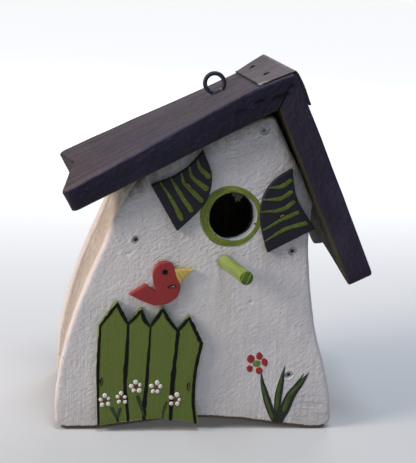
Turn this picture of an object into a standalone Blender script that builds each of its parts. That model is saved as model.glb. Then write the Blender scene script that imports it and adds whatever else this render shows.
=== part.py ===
"""Crooked wooden nest box: sawn side blocks between two shaped panels, under a two-board roof.

The front faces -Y, +Z is up, and the origin is under the middle of the box, at the level of its
feet. The short, steep roof board is a clean-out flap on a flexible strip stapled over the ridge.
Sizes are in millimetres, and MM turns them into Blender's metres.
"""

import math

import bmesh
import bpy
from mathutils import Matrix, Vector

MM = 0.001
GAP = 0.3  # between pieces that touch

# Body
FRONT_Y = -29.0  # front face of the front panel
BODY_DEPTH = 110.0
PANEL_THICKNESS = 12.0
PANEL_ROUNDING = 2.5
BACK_Y = FRONT_Y + BODY_DEPTH
INNER_FRONT_Y = FRONT_Y + PANEL_THICKNESS
INNER_BACK_Y = BACK_Y - PANEL_THICKNESS
SIDE_RECESS = 3.0  # side walls stand back from the panels' outline
FOOT_RADIUS = 9.0
ARCH_HEIGHT = 7.9
ARCH_START_X = -86.0
ARCH_END_X = 73.0
ARCH_POWER = 1.4  # above 1, the arch runs out softly into the feet
# (height, x) of the panels' curved edges, from the feet to the roof
LEFT_EDGE = [
    (9, -107.2),
    (24, -107.0),
    (43, -105.0),
    (69, -99.5),
    (100, -90.0),
    (134, -76.5),
    (158, -67.4),
    (180, -55.9),
]
RIGHT_EDGE = [
    (9, 87.3),
    (28, 84.8),
    (52, 78.1),
    (75, 70.8),
    (103, 65.4),
    (130, 61.7),
    (150, 61.4),
    (164, 61.9),
]
APEX = (31.5, 222.5)
APEX_WIDTH = 3.0  # from the apex to where the panels' top starts to follow the fixed roof board
APEX_STEP = [(42.8, 202.6), (38.6, 206.5)]  # where the panels fall back from the flap, as a vent
LEFT_INNER_LOW = (-71.0, 12.0)
LEFT_INNER_HIGH = (-33.0, 190.0)
RIGHT_INNER_X = 40.0
LEFT_SIDE_TOP = 176.0  # where its outer face starts to follow the roof
RIGHT_SIDE_TOP = 165.0
SIDE_TOP_STEP = 1.0  # inwards, before the left side wall follows the roof
SIDE_BOTTOM = 4.0

# Floor
FLOOR_BOTTOM = 12.0
FLOOR_THICKNESS = 12.0
DRAIN_DIAMETER = 6.0
DRAINS = [(-50.0, -5.0), (20.0, -5.0), (-50.0, 57.0), (20.0, 57.0)]

# Roof
LEFT, RIGHT = -1, 1  # the two roof boards
RIDGE = (40.6, 252.5)  # outer ridge line, where the flap turns
SLOPE = {LEFT: math.radians(28.9), RIGHT: math.radians(64.3)}
THICKNESS = {LEFT: 17.0, RIGHT: 19.0}
ROOF_FRONT_Y = FRONT_Y - 12.0
ROOF_BACK_Y = BACK_Y - 4.0
ROOF_LENGTH = {LEFT: 168.0, RIGHT: 150.0}
NOTCH_DEPTH = {LEFT: 10.0, RIGHT: 17.5}
NOTCH_BLEND = 4.0  # half the width of the notch's softened corner
EAVE_CORNER = 6.0
ROOF_EDGE = 1.0
RAIL_SIZE = 18.0
RAIL_CENTRE = 32.0  # down the left slope from the ridge

# Ridge strip
STRIP_THICKNESS = 1.0
STRIP_WING = 24.0
STRIP_START = 1.5  # from the ridge, so that the two wings stay apart
STRIP_INSET = 2.0  # from the boards' front and back
STRIP_STAPLE_DOWN = 13.5  # from the ridge
STRIP_STAPLE_Y = (-6.0, 51.0)
STRIP_STAPLE_LEG = 8.0

# Entrance and perch, both drilled a little up and to the right
ENTRANCE = (8.1, 154.0)
ENTRANCE_DIAMETER = 32.0
PERCH = (4.4, 122.5)
PERCH_DIAMETER = 8.5
PERCH_REACH = 53.0  # out of the front face
PERCH_CHAMFER = 0.6
DRILL_RIGHT = math.radians(6.7)
DRILL_UP = math.radians(5.2)
DRILL_REACH = 20.0  # how far the cutters go in and stand out
DRILL_LIFT = 8.0

# Cut-outs on the front
PLY = 4.0
PLY_EDGE = 0.5

# Screw eye
EYE_DISTANCE = 48.5  # down the left slope from the ridge
EYE_Y = 21.0
EYE_WIRE = 2.8
EYE_RADIUS = 6.7  # of the wire's middle line
EYE_SHANK = 22.0
EYE_BEND = [(0.25, 0.9), (1.1, 1.45)]  # (across, up) of the wire between the shank and the ring
EYE_START, EYE_END = -70, 244  # degrees round the ring

# Fasteners
SCREW_DIAMETER = 3.5
SCREW_HEAD = 7.0
SCREW_HEAD_DEPTH = 2.4
SCREW_POINT = 4.0
POINT_RADIUS = 0.25
PANEL_SCREWS = [(25.3, 212.6), (-56.0, 136.6), (50.3, 130.9), (54.6, 41.0), (-76.0, 50.0)]
PANEL_SCREW_LENGTH = 35.0
ROOF_SCREWS = [(RAIL_CENTRE, 13.0), (RAIL_CENTRE, 39.0), (111.0, 0.0), (111.0, 52.0)]  # (down the slope, y)
ROOF_SCREW_LENGTH = 34.0
ROOF_SCREW_SUNK = 1.5
NAIL_DIAMETER = 2.2
NAIL_LENGTH = 30.0
NAIL_POINT = 2.5
NAIL_HEAD_THICKNESS = 1.2
FLOOR_NAILS = [-52.0, -20.0]
STAPLE_CROWN = 6.0
STAPLE_LEG = 11.0
STAPLE_WIRE = 1.1

# Making
FASTENER_SIDES = 14
DOWEL_SIDES = 20
ENTRANCE_SIDES = 48
ARCH_STEPS = 22
SIDE_STEPS = 16
FOOT_STEPS = 5
EYE_STEPS = 30
CUT_MARGIN = 1.0  # how far a cutter passes the face that it opens
HEADROOM = 2.0  # how far a fastener's hole stands out of its head


# Materials

def material(name, colour, roughness, metallic=0.0):
    made = bpy.data.materials.new(name)
    made.use_nodes = True
    shader = made.node_tree.nodes["Principled BSDF"]
    shader.inputs["Base Color"].default_value = (*colour, 1.0)
    shader.inputs["Roughness"].default_value = roughness
    shader.inputs["Metallic"].default_value = metallic
    return made


def make_materials():
    return {
        "white": material("white_paint", (0.62, 0.62, 0.66), 0.7),
        "rough_white": material("rough_white_paint", (0.66, 0.6, 0.55), 0.85),
        "roof": material("violet_stain", (0.04, 0.032, 0.06), 0.6),
        "wood": material("bare_pine", (0.62, 0.44, 0.26), 0.8),
        "navy": material("navy_paint", (0.02, 0.02, 0.045), 0.6),
        "green": material("green_paint", (0.1, 0.16, 0.03), 0.6),
        "light_green": material("light_green_paint", (0.42, 0.55, 0.12), 0.6),
        "red": material("red_paint", (0.36, 0.02, 0.02), 0.55),
        "rubber": material("strip_rubber", (0.02, 0.02, 0.025), 0.8),
        "steel": material("zinc_steel", (0.5, 0.5, 0.5), 0.4, 1.0),
        "copper": material("coppered_steel", (0.45, 0.25, 0.15), 0.45, 1.0),
        "painted_steel": material("painted_steel", (0.03, 0.03, 0.05), 0.5),
    }


# Outlines, as lists of (x, z)

def spline(points, steps=4):
    """Points along a smooth curve through the given ones, the last one included."""
    ends = [points[0], *points, points[-1]]
    curve = []
    for a, b, c, d in zip(ends, ends[1:], ends[2:], ends[3:]):
        for step in range(steps):
            t = step / steps
            weights = (-t + 2 * t**2 - t**3, 2 - 5 * t**2 + 3 * t**3, t + 4 * t**2 - 3 * t**3, t**3 - t**2)
            curve.append(tuple(sum(w * p[k] for w, p in zip(weights, (a, b, c, d))) / 2 for k in (0, 1)))
    return [*curve, tuple(points[-1])]


def arc(centre, radius, start, end, steps):
    """Points on a circle between two angles in degrees."""
    angles = [math.radians(start + (end - start) * step / steps) for step in range(steps + 1)]
    return [(centre[0] + radius * math.cos(a), centre[1] + radius * math.sin(a)) for a in angles]


def edge_x(edge, height):
    """x of a panel's edge at a height, on the smooth curve through the edge's points."""
    curve = spline(edge, 12)
    for (z0, x0), (z1, x1) in zip(curve, curve[1:]):
        if z0 <= height <= z1:
            return x0 + (x1 - x0) * (height - z0) / (z1 - z0)
    return curve[0][1] if height < curve[0][0] else curve[-1][1]


def roof_point(side, down, out):
    """(x, z) of a point on a roof board: down the slope from the ridge, and out of its outer face."""
    slope = SLOPE[side]
    x = RIDGE[0] + side * (down * math.cos(slope) + out * math.sin(slope))
    return x, RIDGE[1] - down * math.sin(slope) + out * math.cos(slope)


def under_roof(side, x, clearance=GAP):
    """Height of a roof board's underside at x, less a clearance."""
    start_x, start_z = roof_point(side, 0, -THICKNESS[side] - clearance)
    return start_z - side * (x - start_x) * math.tan(SLOPE[side])


def panel_outline():
    """The crooked house front, anticlockwise from the left foot."""
    bottom = []
    for step in range(ARCH_STEPS + 1):
        share = step / ARCH_STEPS
        x = ARCH_START_X + (ARCH_END_X - ARCH_START_X) * share
        bottom.append((x, ARCH_HEIGHT * math.sin(math.pi * share) ** ARCH_POWER))
    left_foot_x = LEFT_EDGE[0][1] + FOOT_RADIUS
    right_foot_x = RIGHT_EDGE[0][1] - FOOT_RADIUS
    left_foot = arc((left_foot_x, FOOT_RADIUS), FOOT_RADIUS, 180, 270, FOOT_STEPS)
    right_foot = arc((right_foot_x, FOOT_RADIUS), FOOT_RADIUS, 270, 360, FOOT_STEPS)
    right = [(x, z) for z, x in spline(RIGHT_EDGE, 3)][1:-1]
    right_x, left_x = RIGHT_EDGE[-1][1], LEFT_EDGE[-1][1]
    top = [(right_x, under_roof(RIGHT, right_x)), *APEX_STEP, APEX]
    top += [(x, under_roof(LEFT, x)) for x in (APEX[0] - APEX_WIDTH, left_x)]
    left = [(x, z) for z, x in reversed(spline(LEFT_EDGE, 3)[1:-1])]
    return [*left_foot, *bottom, *right_foot, *right, *top, *left]


def side_outline(edge, side, top):
    """A side wall's outer face, set back from the panels' edge, from the bottom up."""
    heights = [SIDE_BOTTOM + (top - SIDE_BOTTOM) * step / SIDE_STEPS for step in range(SIDE_STEPS + 1)]
    return [(edge_x(edge, z) - side * SIDE_RECESS, z) for z in heights]


def left_inner_x(height):
    low, high = LEFT_INNER_LOW, LEFT_INNER_HIGH
    return low[0] + (high[0] - low[0]) * (height - low[1]) / (high[1] - low[1])


# Solids

def new_object(name, bm, surface, matrix=None):
    bmesh.ops.recalc_face_normals(bm, faces=bm.faces)
    mesh = bpy.data.meshes.new(name)
    bm.to_mesh(mesh)
    bm.free()
    obj = bpy.data.objects.new(name, mesh)
    bpy.context.scene.collection.objects.link(obj)
    if surface:
        mesh.materials.append(surface)
    if matrix is not None:
        obj.matrix_world = matrix
    return obj


def smooth(obj, angle=40):
    obj.data.shade_smooth()
    obj.data.set_sharp_from_angle(angle=math.radians(angle))
    return obj


def add_prism(bm, outline, near, far):
    """A straight prism from near to far along the third axis, in millimetres. Returns both caps."""
    rings = [[bm.verts.new((x * MM, depth * MM, z * MM)) for x, z in outline] for depth in (near, far)]
    count = len(outline)
    for i in range(count):
        j = (i + 1) % count
        bm.faces.new((rings[0][i], rings[0][j], rings[1][j], rings[1][i]))
    return bm.faces.new(rings[0]), bm.faces.new(rings[1])


def prism(name, outline, near, far, surface, near_rounding=0.0, far_rounding=0.0, steps=2):
    """An outline in XZ made solid along Y, with its rims rounded where asked."""
    bm = bmesh.new()
    caps = add_prism(bm, outline, near, far)
    for cap, rounding in zip(caps, (near_rounding, far_rounding)):
        if rounding:
            bmesh.ops.bevel(
                bm,
                geom=list(cap.edges),
                offset=rounding * MM,
                segments=steps,
                profile=0.5,
                affect="EDGES",
                clamp_overlap=True,
            )
    return smooth(new_object(name, bm, surface))


def add_turned(bm, profile, matrix, sides=FASTENER_SIDES):
    """A solid of revolution about the matrix's Z, from (radius, height) points; its ends are closed."""
    rings = []
    for radius, height in profile:
        circle = [Vector((x, z, height)) * MM for x, z in arc((0, 0), radius, 0, 360, sides)[:-1]]
        rings.append([bm.verts.new(matrix @ point) for point in circle])
    for lower, upper in zip(rings, rings[1:]):
        for i in range(sides):
            j = (i + 1) % sides
            bm.faces.new((lower[i], lower[j], upper[j], upper[i]))
    bm.faces.new(rings[0])
    bm.faces.new(rings[-1])


def add_block(bm, outline, thickness, matrix):
    """An outline in the matrix's XZ plane, centred in thickness along its Y."""
    rings = []
    for depth in (-thickness / 2, thickness / 2):
        rings.append([bm.verts.new(matrix @ (Vector((x, depth, z)) * MM)) for x, z in outline])
    for i in range(len(outline)):
        j = (i + 1) % len(outline)
        bm.faces.new((rings[0][i], rings[0][j], rings[1][j], rings[1][i]))
    bm.faces.new(rings[0])
    bm.faces.new(rings[1])


def seat(x, y, z, outward, along):
    """A frame at a point in millimetres, with Z pointing outward and X close to along."""
    up = Vector(outward).normalized()
    side = Vector(along)
    side = (side - up * side.dot(up)).normalized()
    turned = Matrix((side, up.cross(side), up)).transposed().to_4x4()
    return Matrix.Translation(Vector((x, y, z)) * MM) @ turned


def cutter(name, bm):
    obj = new_object(name, bm, None)
    obj.hide_render = True
    obj.display_type = "WIRE"
    return obj


def cut(obj, *cutters):
    for tool in cutters:
        modifier = obj.modifiers.new("cut_" + tool.name, "BOOLEAN")
        modifier.operation = "DIFFERENCE"
        modifier.solver = "EXACT"
        modifier.object = tool


# Fasteners

def screw_profile(length, clearance=0.0, headroom=0.0):
    head = SCREW_HEAD / 2 + clearance
    shank = SCREW_DIAMETER / 2 + clearance
    tip = -length - clearance
    profile = [(POINT_RADIUS + clearance, tip), (shank, tip + SCREW_POINT)]
    profile += [(shank, -SCREW_HEAD_DEPTH), (head, 0.0)]
    if headroom:
        profile.append((head, headroom))
    return profile


def nail_profile(length, clearance=0.0, headroom=0.0):
    shank = NAIL_DIAMETER / 2 + clearance
    head = NAIL_DIAMETER + clearance
    under_head = -NAIL_HEAD_THICKNESS - clearance
    profile = [(POINT_RADIUS + clearance, -length - clearance), (shank, NAIL_POINT - length)]
    profile += [(shank, under_head), (head, under_head), (head, headroom)]
    return profile


def staple_outline(leg, clearance=0.0, headroom=0.0):
    half = STAPLE_CROWN / 2 + clearance
    inner = STAPLE_CROWN / 2 - STAPLE_WIRE - clearance
    foot = -leg - clearance
    under = -STAPLE_WIRE - clearance
    legs = [(-half, foot), (-inner, foot), (-inner, under), (inner, under), (inner, foot), (half, foot)]
    return [*legs, (half, headroom), (-half, headroom)]


def turned(name, profile, matrix, surface, sides=FASTENER_SIDES):
    bm = bmesh.new()
    add_turned(bm, profile, Matrix(), sides)
    return smooth(new_object(name, bm, surface, matrix))


def staple(name, leg, matrix, surface):
    bm = bmesh.new()
    add_block(bm, staple_outline(leg), STAPLE_WIRE, Matrix())
    return new_object(name, bm, surface, matrix)


def front_seat(x, z, depth=0.0, along=(1, 0, 0)):
    return seat(x, FRONT_Y - depth, z, (0, -1, 0), along)


def roof_seat(side, down, y):
    x, z = roof_point(side, down, 0)
    slope = SLOPE[side]
    outward = (side * math.sin(slope), 0, math.cos(slope))
    return seat(x, y, z, outward, (side * math.cos(slope), 0, -math.sin(slope)))


def make_panel_fasteners(surfaces):
    """Screws through both panels into the side walls and the rail, and nails into the floor."""
    tools = []
    for where, face_y, outward in (("front", FRONT_Y, -1), ("back", BACK_Y, 1)):
        holes = bmesh.new()
        for number, (x, z) in enumerate(PANEL_SCREWS, 1):
            matrix = seat(x, face_y - outward * GAP, z, (0, outward, 0), (1, 0, 0))
            profile = screw_profile(PANEL_SCREW_LENGTH)
            turned(f"{where}_screw_{number}", profile, matrix, surfaces["steel"])
            add_turned(holes, screw_profile(PANEL_SCREW_LENGTH, GAP, HEADROOM), matrix)
        for number, x in enumerate(FLOOR_NAILS, 1):
            height = FLOOR_BOTTOM + FLOOR_THICKNESS / 2
            matrix = seat(x, face_y - outward * GAP, height, (0, outward, 0), (1, 0, 0))
            profile = nail_profile(NAIL_LENGTH)
            turned(f"{where}_floor_nail_{number}", profile, matrix, surfaces["steel"])
            add_turned(holes, nail_profile(NAIL_LENGTH, GAP, HEADROOM), matrix)
        tools.append(cutter(f"{where}_fastener_holes", holes))
    return tools


def make_roof_fasteners(surfaces):
    """Sunk screws that hold the fixed roof board to the rail and to the left side wall."""
    holes = bmesh.new()
    for number, (down, y) in enumerate(ROOF_SCREWS, 1):
        matrix = roof_seat(LEFT, down, y) @ Matrix.Translation((0, 0, -ROOF_SCREW_SUNK * MM))
        turned(f"roof_screw_{number}", screw_profile(ROOF_SCREW_LENGTH), matrix, surfaces["steel"])
        profile = screw_profile(ROOF_SCREW_LENGTH, GAP, ROOF_SCREW_SUNK + CUT_MARGIN)
        add_turned(holes, profile, matrix)
    return cutter("roof_screw_holes", holes)


# Body pieces

def make_body(surfaces):
    outline = panel_outline()
    white = surfaces["white"]
    front = prism("front_panel", outline, FRONT_Y, INNER_FRONT_Y, white, near_rounding=PANEL_ROUNDING)
    back = prism("back_panel", outline, INNER_BACK_Y, BACK_Y, white, far_rounding=PANEL_ROUNDING)

    near, far = INNER_FRONT_Y + GAP, INNER_BACK_Y - GAP
    left = side_outline(LEFT_EDGE, LEFT, LEFT_SIDE_TOP)
    outer_x, inner_x = left[-1][0] + SIDE_TOP_STEP, LEFT_INNER_HIGH[0]
    left += [(outer_x, under_roof(LEFT, outer_x)), (inner_x, under_roof(LEFT, inner_x))]
    left += [(left_inner_x(SIDE_BOTTOM), SIDE_BOTTOM)]
    left_side = prism("left_side", left, near, far, surfaces["rough_white"])
    right = side_outline(RIGHT_EDGE, RIGHT, RIGHT_SIDE_TOP)
    right += [(RIGHT_INNER_X, RIGHT_SIDE_TOP), (RIGHT_INNER_X, SIDE_BOTTOM)]
    right_side = prism("right_side", right, near, far, surfaces["rough_white"])

    top = FLOOR_BOTTOM + FLOOR_THICKNESS
    floor = [
        (left_inner_x(FLOOR_BOTTOM) + GAP, FLOOR_BOTTOM),
        (RIGHT_INNER_X - GAP, FLOOR_BOTTOM),
        (RIGHT_INNER_X - GAP, top),
        (left_inner_x(top) + GAP, top),
    ]
    floor_board = prism("floor_board", floor, near, far, surfaces["wood"])
    half = RAIL_SIZE / 2
    under = -THICKNESS[LEFT] - GAP
    corners = [(-half, under - RAIL_SIZE), (half, under - RAIL_SIZE), (half, under), (-half, under)]
    rail = [roof_point(LEFT, RAIL_CENTRE + down, out) for down, out in corners]
    ridge_rail = prism("ridge_rail", rail, near, far, surfaces["wood"])
    return front, back, left_side, right_side, floor_board, ridge_rail


def make_drains(floor_board):
    holes = bmesh.new()
    radius = DRAIN_DIAMETER / 2
    for x, y in DRAINS:
        matrix = seat(x, y, FLOOR_BOTTOM - CUT_MARGIN, (0, 0, 1), (1, 0, 0))
        add_turned(holes, [(radius, 0), (radius, FLOOR_THICKNESS + 2 * CUT_MARGIN)], matrix)
    cut(floor_board, cutter("drain_holes", holes))


def drill_direction():
    """The way the entrance and the perch point, out of the front."""
    return Vector((math.tan(DRILL_RIGHT), -1.0, math.tan(DRILL_UP))).normalized()


def make_entrance_and_perch(front, surfaces):
    direction = drill_direction()
    entrance = seat(ENTRANCE[0], FRONT_Y, ENTRANCE[1], direction, (1, 0, 0))
    perch = seat(PERCH[0], FRONT_Y, PERCH[1], direction, (1, 0, 0))
    holes = bmesh.new()
    for matrix, radius, sides in (
        (entrance, ENTRANCE_DIAMETER / 2, ENTRANCE_SIDES),
        (perch, PERCH_DIAMETER / 2 + GAP, DOWEL_SIDES),
    ):
        add_turned(holes, [(radius, -DRILL_REACH), (radius, DRILL_LIFT)], matrix, sides)
    cut(front, cutter("entrance_and_perch_holes", holes))
    radius = PERCH_DIAMETER / 2
    profile = [(radius - PERCH_CHAMFER, -PANEL_THICKNESS), (radius, PERCH_CHAMFER - PANEL_THICKNESS)]
    profile += [(radius, PERCH_REACH - PERCH_CHAMFER), (radius - PERCH_CHAMFER, PERCH_REACH)]
    turned("perch", profile, perch, surfaces["light_green"], DOWEL_SIDES)


# Roof pieces

def eave_outline(side):
    """The eave end of a roof board as (down the slope, y): rounded corners and a shallow V between."""
    length, notch = ROOF_LENGTH[side], NOTCH_DEPTH[side]
    middle = (ROOF_FRONT_Y + ROOF_BACK_Y) / 2
    lean = math.atan2(notch, middle - ROOF_FRONT_Y)
    blend = length - notch + NOTCH_BLEND * math.tan(lean)
    vertex = [(blend, middle - NOTCH_BLEND), (length - notch + GAP, middle), (blend, middle + NOTCH_BLEND)]
    corner, degrees = length - EAVE_CORNER, math.degrees(lean)
    front = arc((corner, ROOF_FRONT_Y + EAVE_CORNER), EAVE_CORNER, -90, degrees, 6)
    back = arc((corner, ROOF_BACK_Y - EAVE_CORNER), EAVE_CORNER, -degrees, 90, 6)
    return [*front, *vertex, *back]


def roof_board(name, side, surface):
    """A board with a V cut into its eave end, and its ridge end cut to the joint between the boards."""
    between = math.pi - SLOPE[LEFT] - SLOPE[RIGHT]
    joint = (THICKNESS[side] * math.cos(between) + THICKNESS[-side]) / math.sin(between)
    eave = eave_outline(side)
    bm = bmesh.new()
    rings = []
    for out, ridge_end in ((0.0, GAP), (-THICKNESS[side], joint + GAP)):
        plan = [(ridge_end, ROOF_FRONT_Y), *eave, (ridge_end, ROOF_BACK_Y)]
        ring = []
        for down, y in plan:
            x, z = roof_point(side, down, out)
            ring.append(bm.verts.new((x * MM, y * MM, z * MM)))
        rings.append(ring)
    for i in range(len(rings[0])):
        j = (i + 1) % len(rings[0])
        bm.faces.new((rings[0][i], rings[0][j], rings[1][j], rings[1][i]))
    caps = [bm.faces.new(ring) for ring in rings]
    rims = {edge for cap in caps for edge in cap.edges}
    bmesh.ops.bevel(
        bm,
        geom=list(rims),
        offset=ROOF_EDGE * MM,
        segments=2,
        profile=0.5,
        affect="EDGES",
        clamp_overlap=True,
    )
    return smooth(new_object(name, bm, surface))


def make_ridge_strip(surfaces):
    """The two wings of the strip, each with two staples, and the holes for those staples."""
    pieces, tools = {}, {}
    for word, side in (("left", LEFT), ("right", RIGHT)):
        corners = [
            (STRIP_START, GAP),
            (STRIP_WING, GAP),
            (STRIP_WING, GAP + STRIP_THICKNESS),
            (STRIP_START, GAP + STRIP_THICKNESS),
        ]
        outline = [roof_point(side, down, out) for down, out in corners]
        near, far = ROOF_FRONT_Y + STRIP_INSET, ROOF_BACK_Y - STRIP_INSET
        wing = prism(f"ridge_strip_{word}", outline, near, far, surfaces["rubber"])
        holes = bmesh.new()
        staples = []
        for number, y in enumerate(STRIP_STAPLE_Y, 1):
            rise = Matrix.Translation((0, 0, (GAP + STRIP_THICKNESS) * MM))
            matrix = roof_seat(side, STRIP_STAPLE_DOWN, y) @ rise
            name = f"strip_staple_{word}_{number}"
            staples.append(staple(name, STRIP_STAPLE_LEG, matrix, surfaces["painted_steel"]))
            hole = staple_outline(STRIP_STAPLE_LEG, GAP, HEADROOM)
            add_block(holes, hole, STAPLE_WIRE + 2 * GAP, matrix)
        tools[word] = cutter(f"strip_staple_holes_{word}", holes)
        cut(wing, tools[word])
        pieces[word] = [wing, *staples]
    return pieces, tools


def make_hanging_eye(surfaces):
    """A screw eye: one wire, up the shank and round the ring to just short of where it began."""
    x, z = roof_point(LEFT, EYE_DISTANCE, 0)
    centre_z = z + EYE_RADIUS + EYE_WIRE / 2
    shank = [(0.0, -EYE_SHANK), (0.0, -EYE_SHANK / 2), (0.0, 0.0)]
    ring = arc((0.0, centre_z - z), EYE_RADIUS, EYE_START, EYE_END, EYE_STEPS)
    curve = bpy.data.curves.new("hanging_eye", "CURVE")
    curve.dimensions = "3D"
    curve.bevel_depth = EYE_WIRE / 2 * MM
    curve.bevel_resolution = 3
    curve.use_fill_caps = True
    path = [*shank, *EYE_BEND, *ring]
    line = curve.splines.new("POLY")
    line.points.add(len(path) - 1)
    for point, (across, up) in zip(line.points, path):
        point.co = (across * MM, 0.0, up * MM, 1.0)
    obj = bpy.data.objects.new("hanging_eye", curve)
    bpy.context.scene.collection.objects.link(obj)
    obj.location = Vector((x, EYE_Y, z)) * MM
    curve.materials.append(surfaces["painted_steel"])
    radius = EYE_WIRE / 2 + GAP
    hole = bmesh.new()
    upright = seat(x, EYE_Y, z, (0, 0, 1), (1, 0, 0))
    add_turned(hole, [(radius, -EYE_SHANK - CUT_MARGIN), (radius, EYE_WIRE)], upright)
    # The ring's foot beds into the sloping board beside the shank.
    bed = bmesh.new()
    bed_radius = EYE_RADIUS + EYE_WIRE / 2 + 2 * GAP
    round_ring = seat(x, EYE_Y, centre_z, (0, -1, 0), (1, 0, 0))
    add_turned(bed, [(bed_radius, -radius), (bed_radius, radius)], round_ring)
    return cutter("eye_hole", hole), cutter("eye_bed", bed)


def make_roof(surfaces, screw_holes):
    left = roof_board("roof_left", LEFT, surfaces["roof"])
    right = roof_board("roof_right", RIGHT, surfaces["roof"])
    strip, staple_holes = make_ridge_strip(surfaces)
    eye_holes = make_hanging_eye(surfaces)
    cut(left, screw_holes, staple_holes["left"], *eye_holes)
    cut(right, staple_holes["right"])
    hinge = bpy.data.objects.new("roof_flap_hinge", None)
    bpy.context.scene.collection.objects.link(hinge)
    hinge.location = Vector((RIDGE[0], (ROOF_FRONT_Y + ROOF_BACK_Y) / 2, RIDGE[1])) * MM
    bpy.context.view_layer.update()
    for piece in (right, *strip["right"]):
        piece.parent = hinge
        piece.matrix_parent_inverse = hinge.matrix_world.inverted()


# Cut-outs on the front

def shutter_outlines():
    """Straight at the wall's side, and hollowed where they stand round the entrance."""
    outer, low, high = (-47.9, 174.7), (-29.4, 144.0), (-14.6, 198.4)
    left = [outer, *spline([low, (-20.0, 153.3), (-12.6, 161.8), (-8.6, 171.5), (-8.4, 184.0), high])]
    left += spline([high, (-23.0, 188.6), (-33.0, 181.0), outer])[1:-1]
    low, outer, high = (32.5, 130.5), (63.9, 147.8), (45.4, 187.9)
    right = [low, *spline([outer, (54.0, 161.5), (48.6, 172.0), high])]
    right += spline([high, (34.8, 181.0), (27.6, 170.0), (26.0, 156.5), (28.0, 144.0), low])[1:-1]
    return left, right


def bird_outline():
    belly = [(-59.6, 99.5), (-49.5, 94.8), (-41.0, 92.1), (-33.5, 93.6), (-27.4, 98.0), (-25.2, 104.0)]
    throat = (-25.6, 108.4)
    beak = (-17.3, 117.7)
    head = [(-29.4, 117.9), (-31.5, 121.2), (-35.8, 122.8), (-41.0, 121.0), (-44.0, 115.5), (-43.6, 108.5)]
    back = (-41.6, 101.6)
    tail = (-48.9, 106.6)
    return [*spline([*belly, throat]), beak, *spline([*head, back]), tail]


def fence_outline():
    low_left, low_right = (-77.4, 4.6), (-7.6, 6.6)
    left = spline([(-79.2, 77.6), (-79.6, 40.0), low_left])
    bottom = spline([low_left, (-54.7, 8.7), (-32.0, 9.9), low_right])[1:]
    right = spline([low_right, (-11.0, 24.0), (-11.4, 42.0), (-7.6, 65.6)])[1:]
    right_pickets = [(-18.4, 85.5), (-25.8, 75.2), (-36.6, 91.0), (-44.4, 77.6)]
    left_pickets = [(-51.1, 90.4), (-59.5, 79.5), (-67.4, 95.1)]
    return left + bottom + right + right_pickets + left_pickets


def make_cutouts(surfaces):
    """Flat plywood shapes stapled to the front, and the holes for their staples."""
    left, right = shutter_outlines()
    shapes = {
        "left_shutter": (left, "navy"),
        "right_shutter": (right, "navy"),
        "bird": (bird_outline(), "red"),
        "fence": (fence_outline(), "green"),
    }
    pieces = {}
    for name, (outline, colour) in shapes.items():
        near = FRONT_Y - GAP - PLY
        pieces[name] = prism(name, outline, near, FRONT_Y - GAP, surfaces[colour], PLY_EDGE, 0.0, 1)
    staples = {
        "left_shutter_staple": (-23.2, 175.6, (1, 0, -0.7)),
        "right_shutter_staple": (40.6, 156.6, (1, 0, 0.5)),
        "bird_staple": (-31.0, 105.8, (1, 0, 0.25)),
        "fence_staple_left": (-76.0, 37.4, (0, 0, 1)),
        "fence_staple_right": (-16.2, 34.1, (0, 0, 1)),
    }
    holes = bmesh.new()
    for name, (x, z, along) in staples.items():
        matrix = front_seat(x, z, PLY, along)
        staple(name, STAPLE_LEG, matrix, surfaces["copper"])
        add_block(holes, staple_outline(STAPLE_LEG, GAP, HEADROOM), STAPLE_WIRE + 2 * GAP, matrix)
    tool = cutter("cutout_staple_holes", holes)
    for piece in pieces.values():
        cut(piece, tool)
    return tool


def main():
    for old in list(bpy.data.objects):
        bpy.data.objects.remove(old, do_unlink=True)
    surfaces = make_materials()
    front, back, left_side, right_side, floor_board, ridge_rail = make_body(surfaces)
    front_holes, back_holes = make_panel_fasteners(surfaces)
    roof_holes = make_roof_fasteners(surfaces)
    make_entrance_and_perch(front, surfaces)
    make_drains(floor_board)
    make_roof(surfaces, roof_holes)
    staple_holes = make_cutouts(surfaces)
    cut(front, front_holes, staple_holes)
    cut(back, back_holes)
    cut(left_side, front_holes, back_holes, roof_holes)
    cut(right_side, front_holes, back_holes)
    cut(ridge_rail, front_holes, back_holes, roof_holes)
    cut(floor_board, front_holes, back_holes)


main()
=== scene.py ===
"""Looks of a crooked wooden nest box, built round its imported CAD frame.

Lengths are in millimetres in the row frame until a mesh is made, and MM turns them into metres.
Flat pieces are plates: an outline in two directions (u, v) made solid in a third (w), whose rims
are rounded and whose front may carry relief. Painted decoration is thin plates of paint.
"""

from functools import reduce
from math import atan2, cos, degrees, exp, hypot, pi, radians, sin, tan

import bmesh
import bpy
import numpy as np
from mathutils import Matrix, Vector, noise
from mathutils.geometry import delaunay_2d_cdt


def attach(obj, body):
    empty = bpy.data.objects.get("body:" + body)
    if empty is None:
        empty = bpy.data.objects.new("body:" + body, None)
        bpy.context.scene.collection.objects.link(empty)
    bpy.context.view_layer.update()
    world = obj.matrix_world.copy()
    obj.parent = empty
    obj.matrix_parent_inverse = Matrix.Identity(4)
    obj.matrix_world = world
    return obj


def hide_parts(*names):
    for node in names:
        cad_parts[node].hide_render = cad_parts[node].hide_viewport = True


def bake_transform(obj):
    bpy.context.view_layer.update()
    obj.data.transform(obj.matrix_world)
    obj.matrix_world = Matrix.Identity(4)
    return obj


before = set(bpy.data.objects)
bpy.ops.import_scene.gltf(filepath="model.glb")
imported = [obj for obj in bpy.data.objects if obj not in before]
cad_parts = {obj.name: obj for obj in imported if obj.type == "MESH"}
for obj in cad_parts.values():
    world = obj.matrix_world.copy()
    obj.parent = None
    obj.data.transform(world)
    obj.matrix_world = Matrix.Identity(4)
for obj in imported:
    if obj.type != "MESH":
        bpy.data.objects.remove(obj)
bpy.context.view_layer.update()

MM = 0.001

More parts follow.
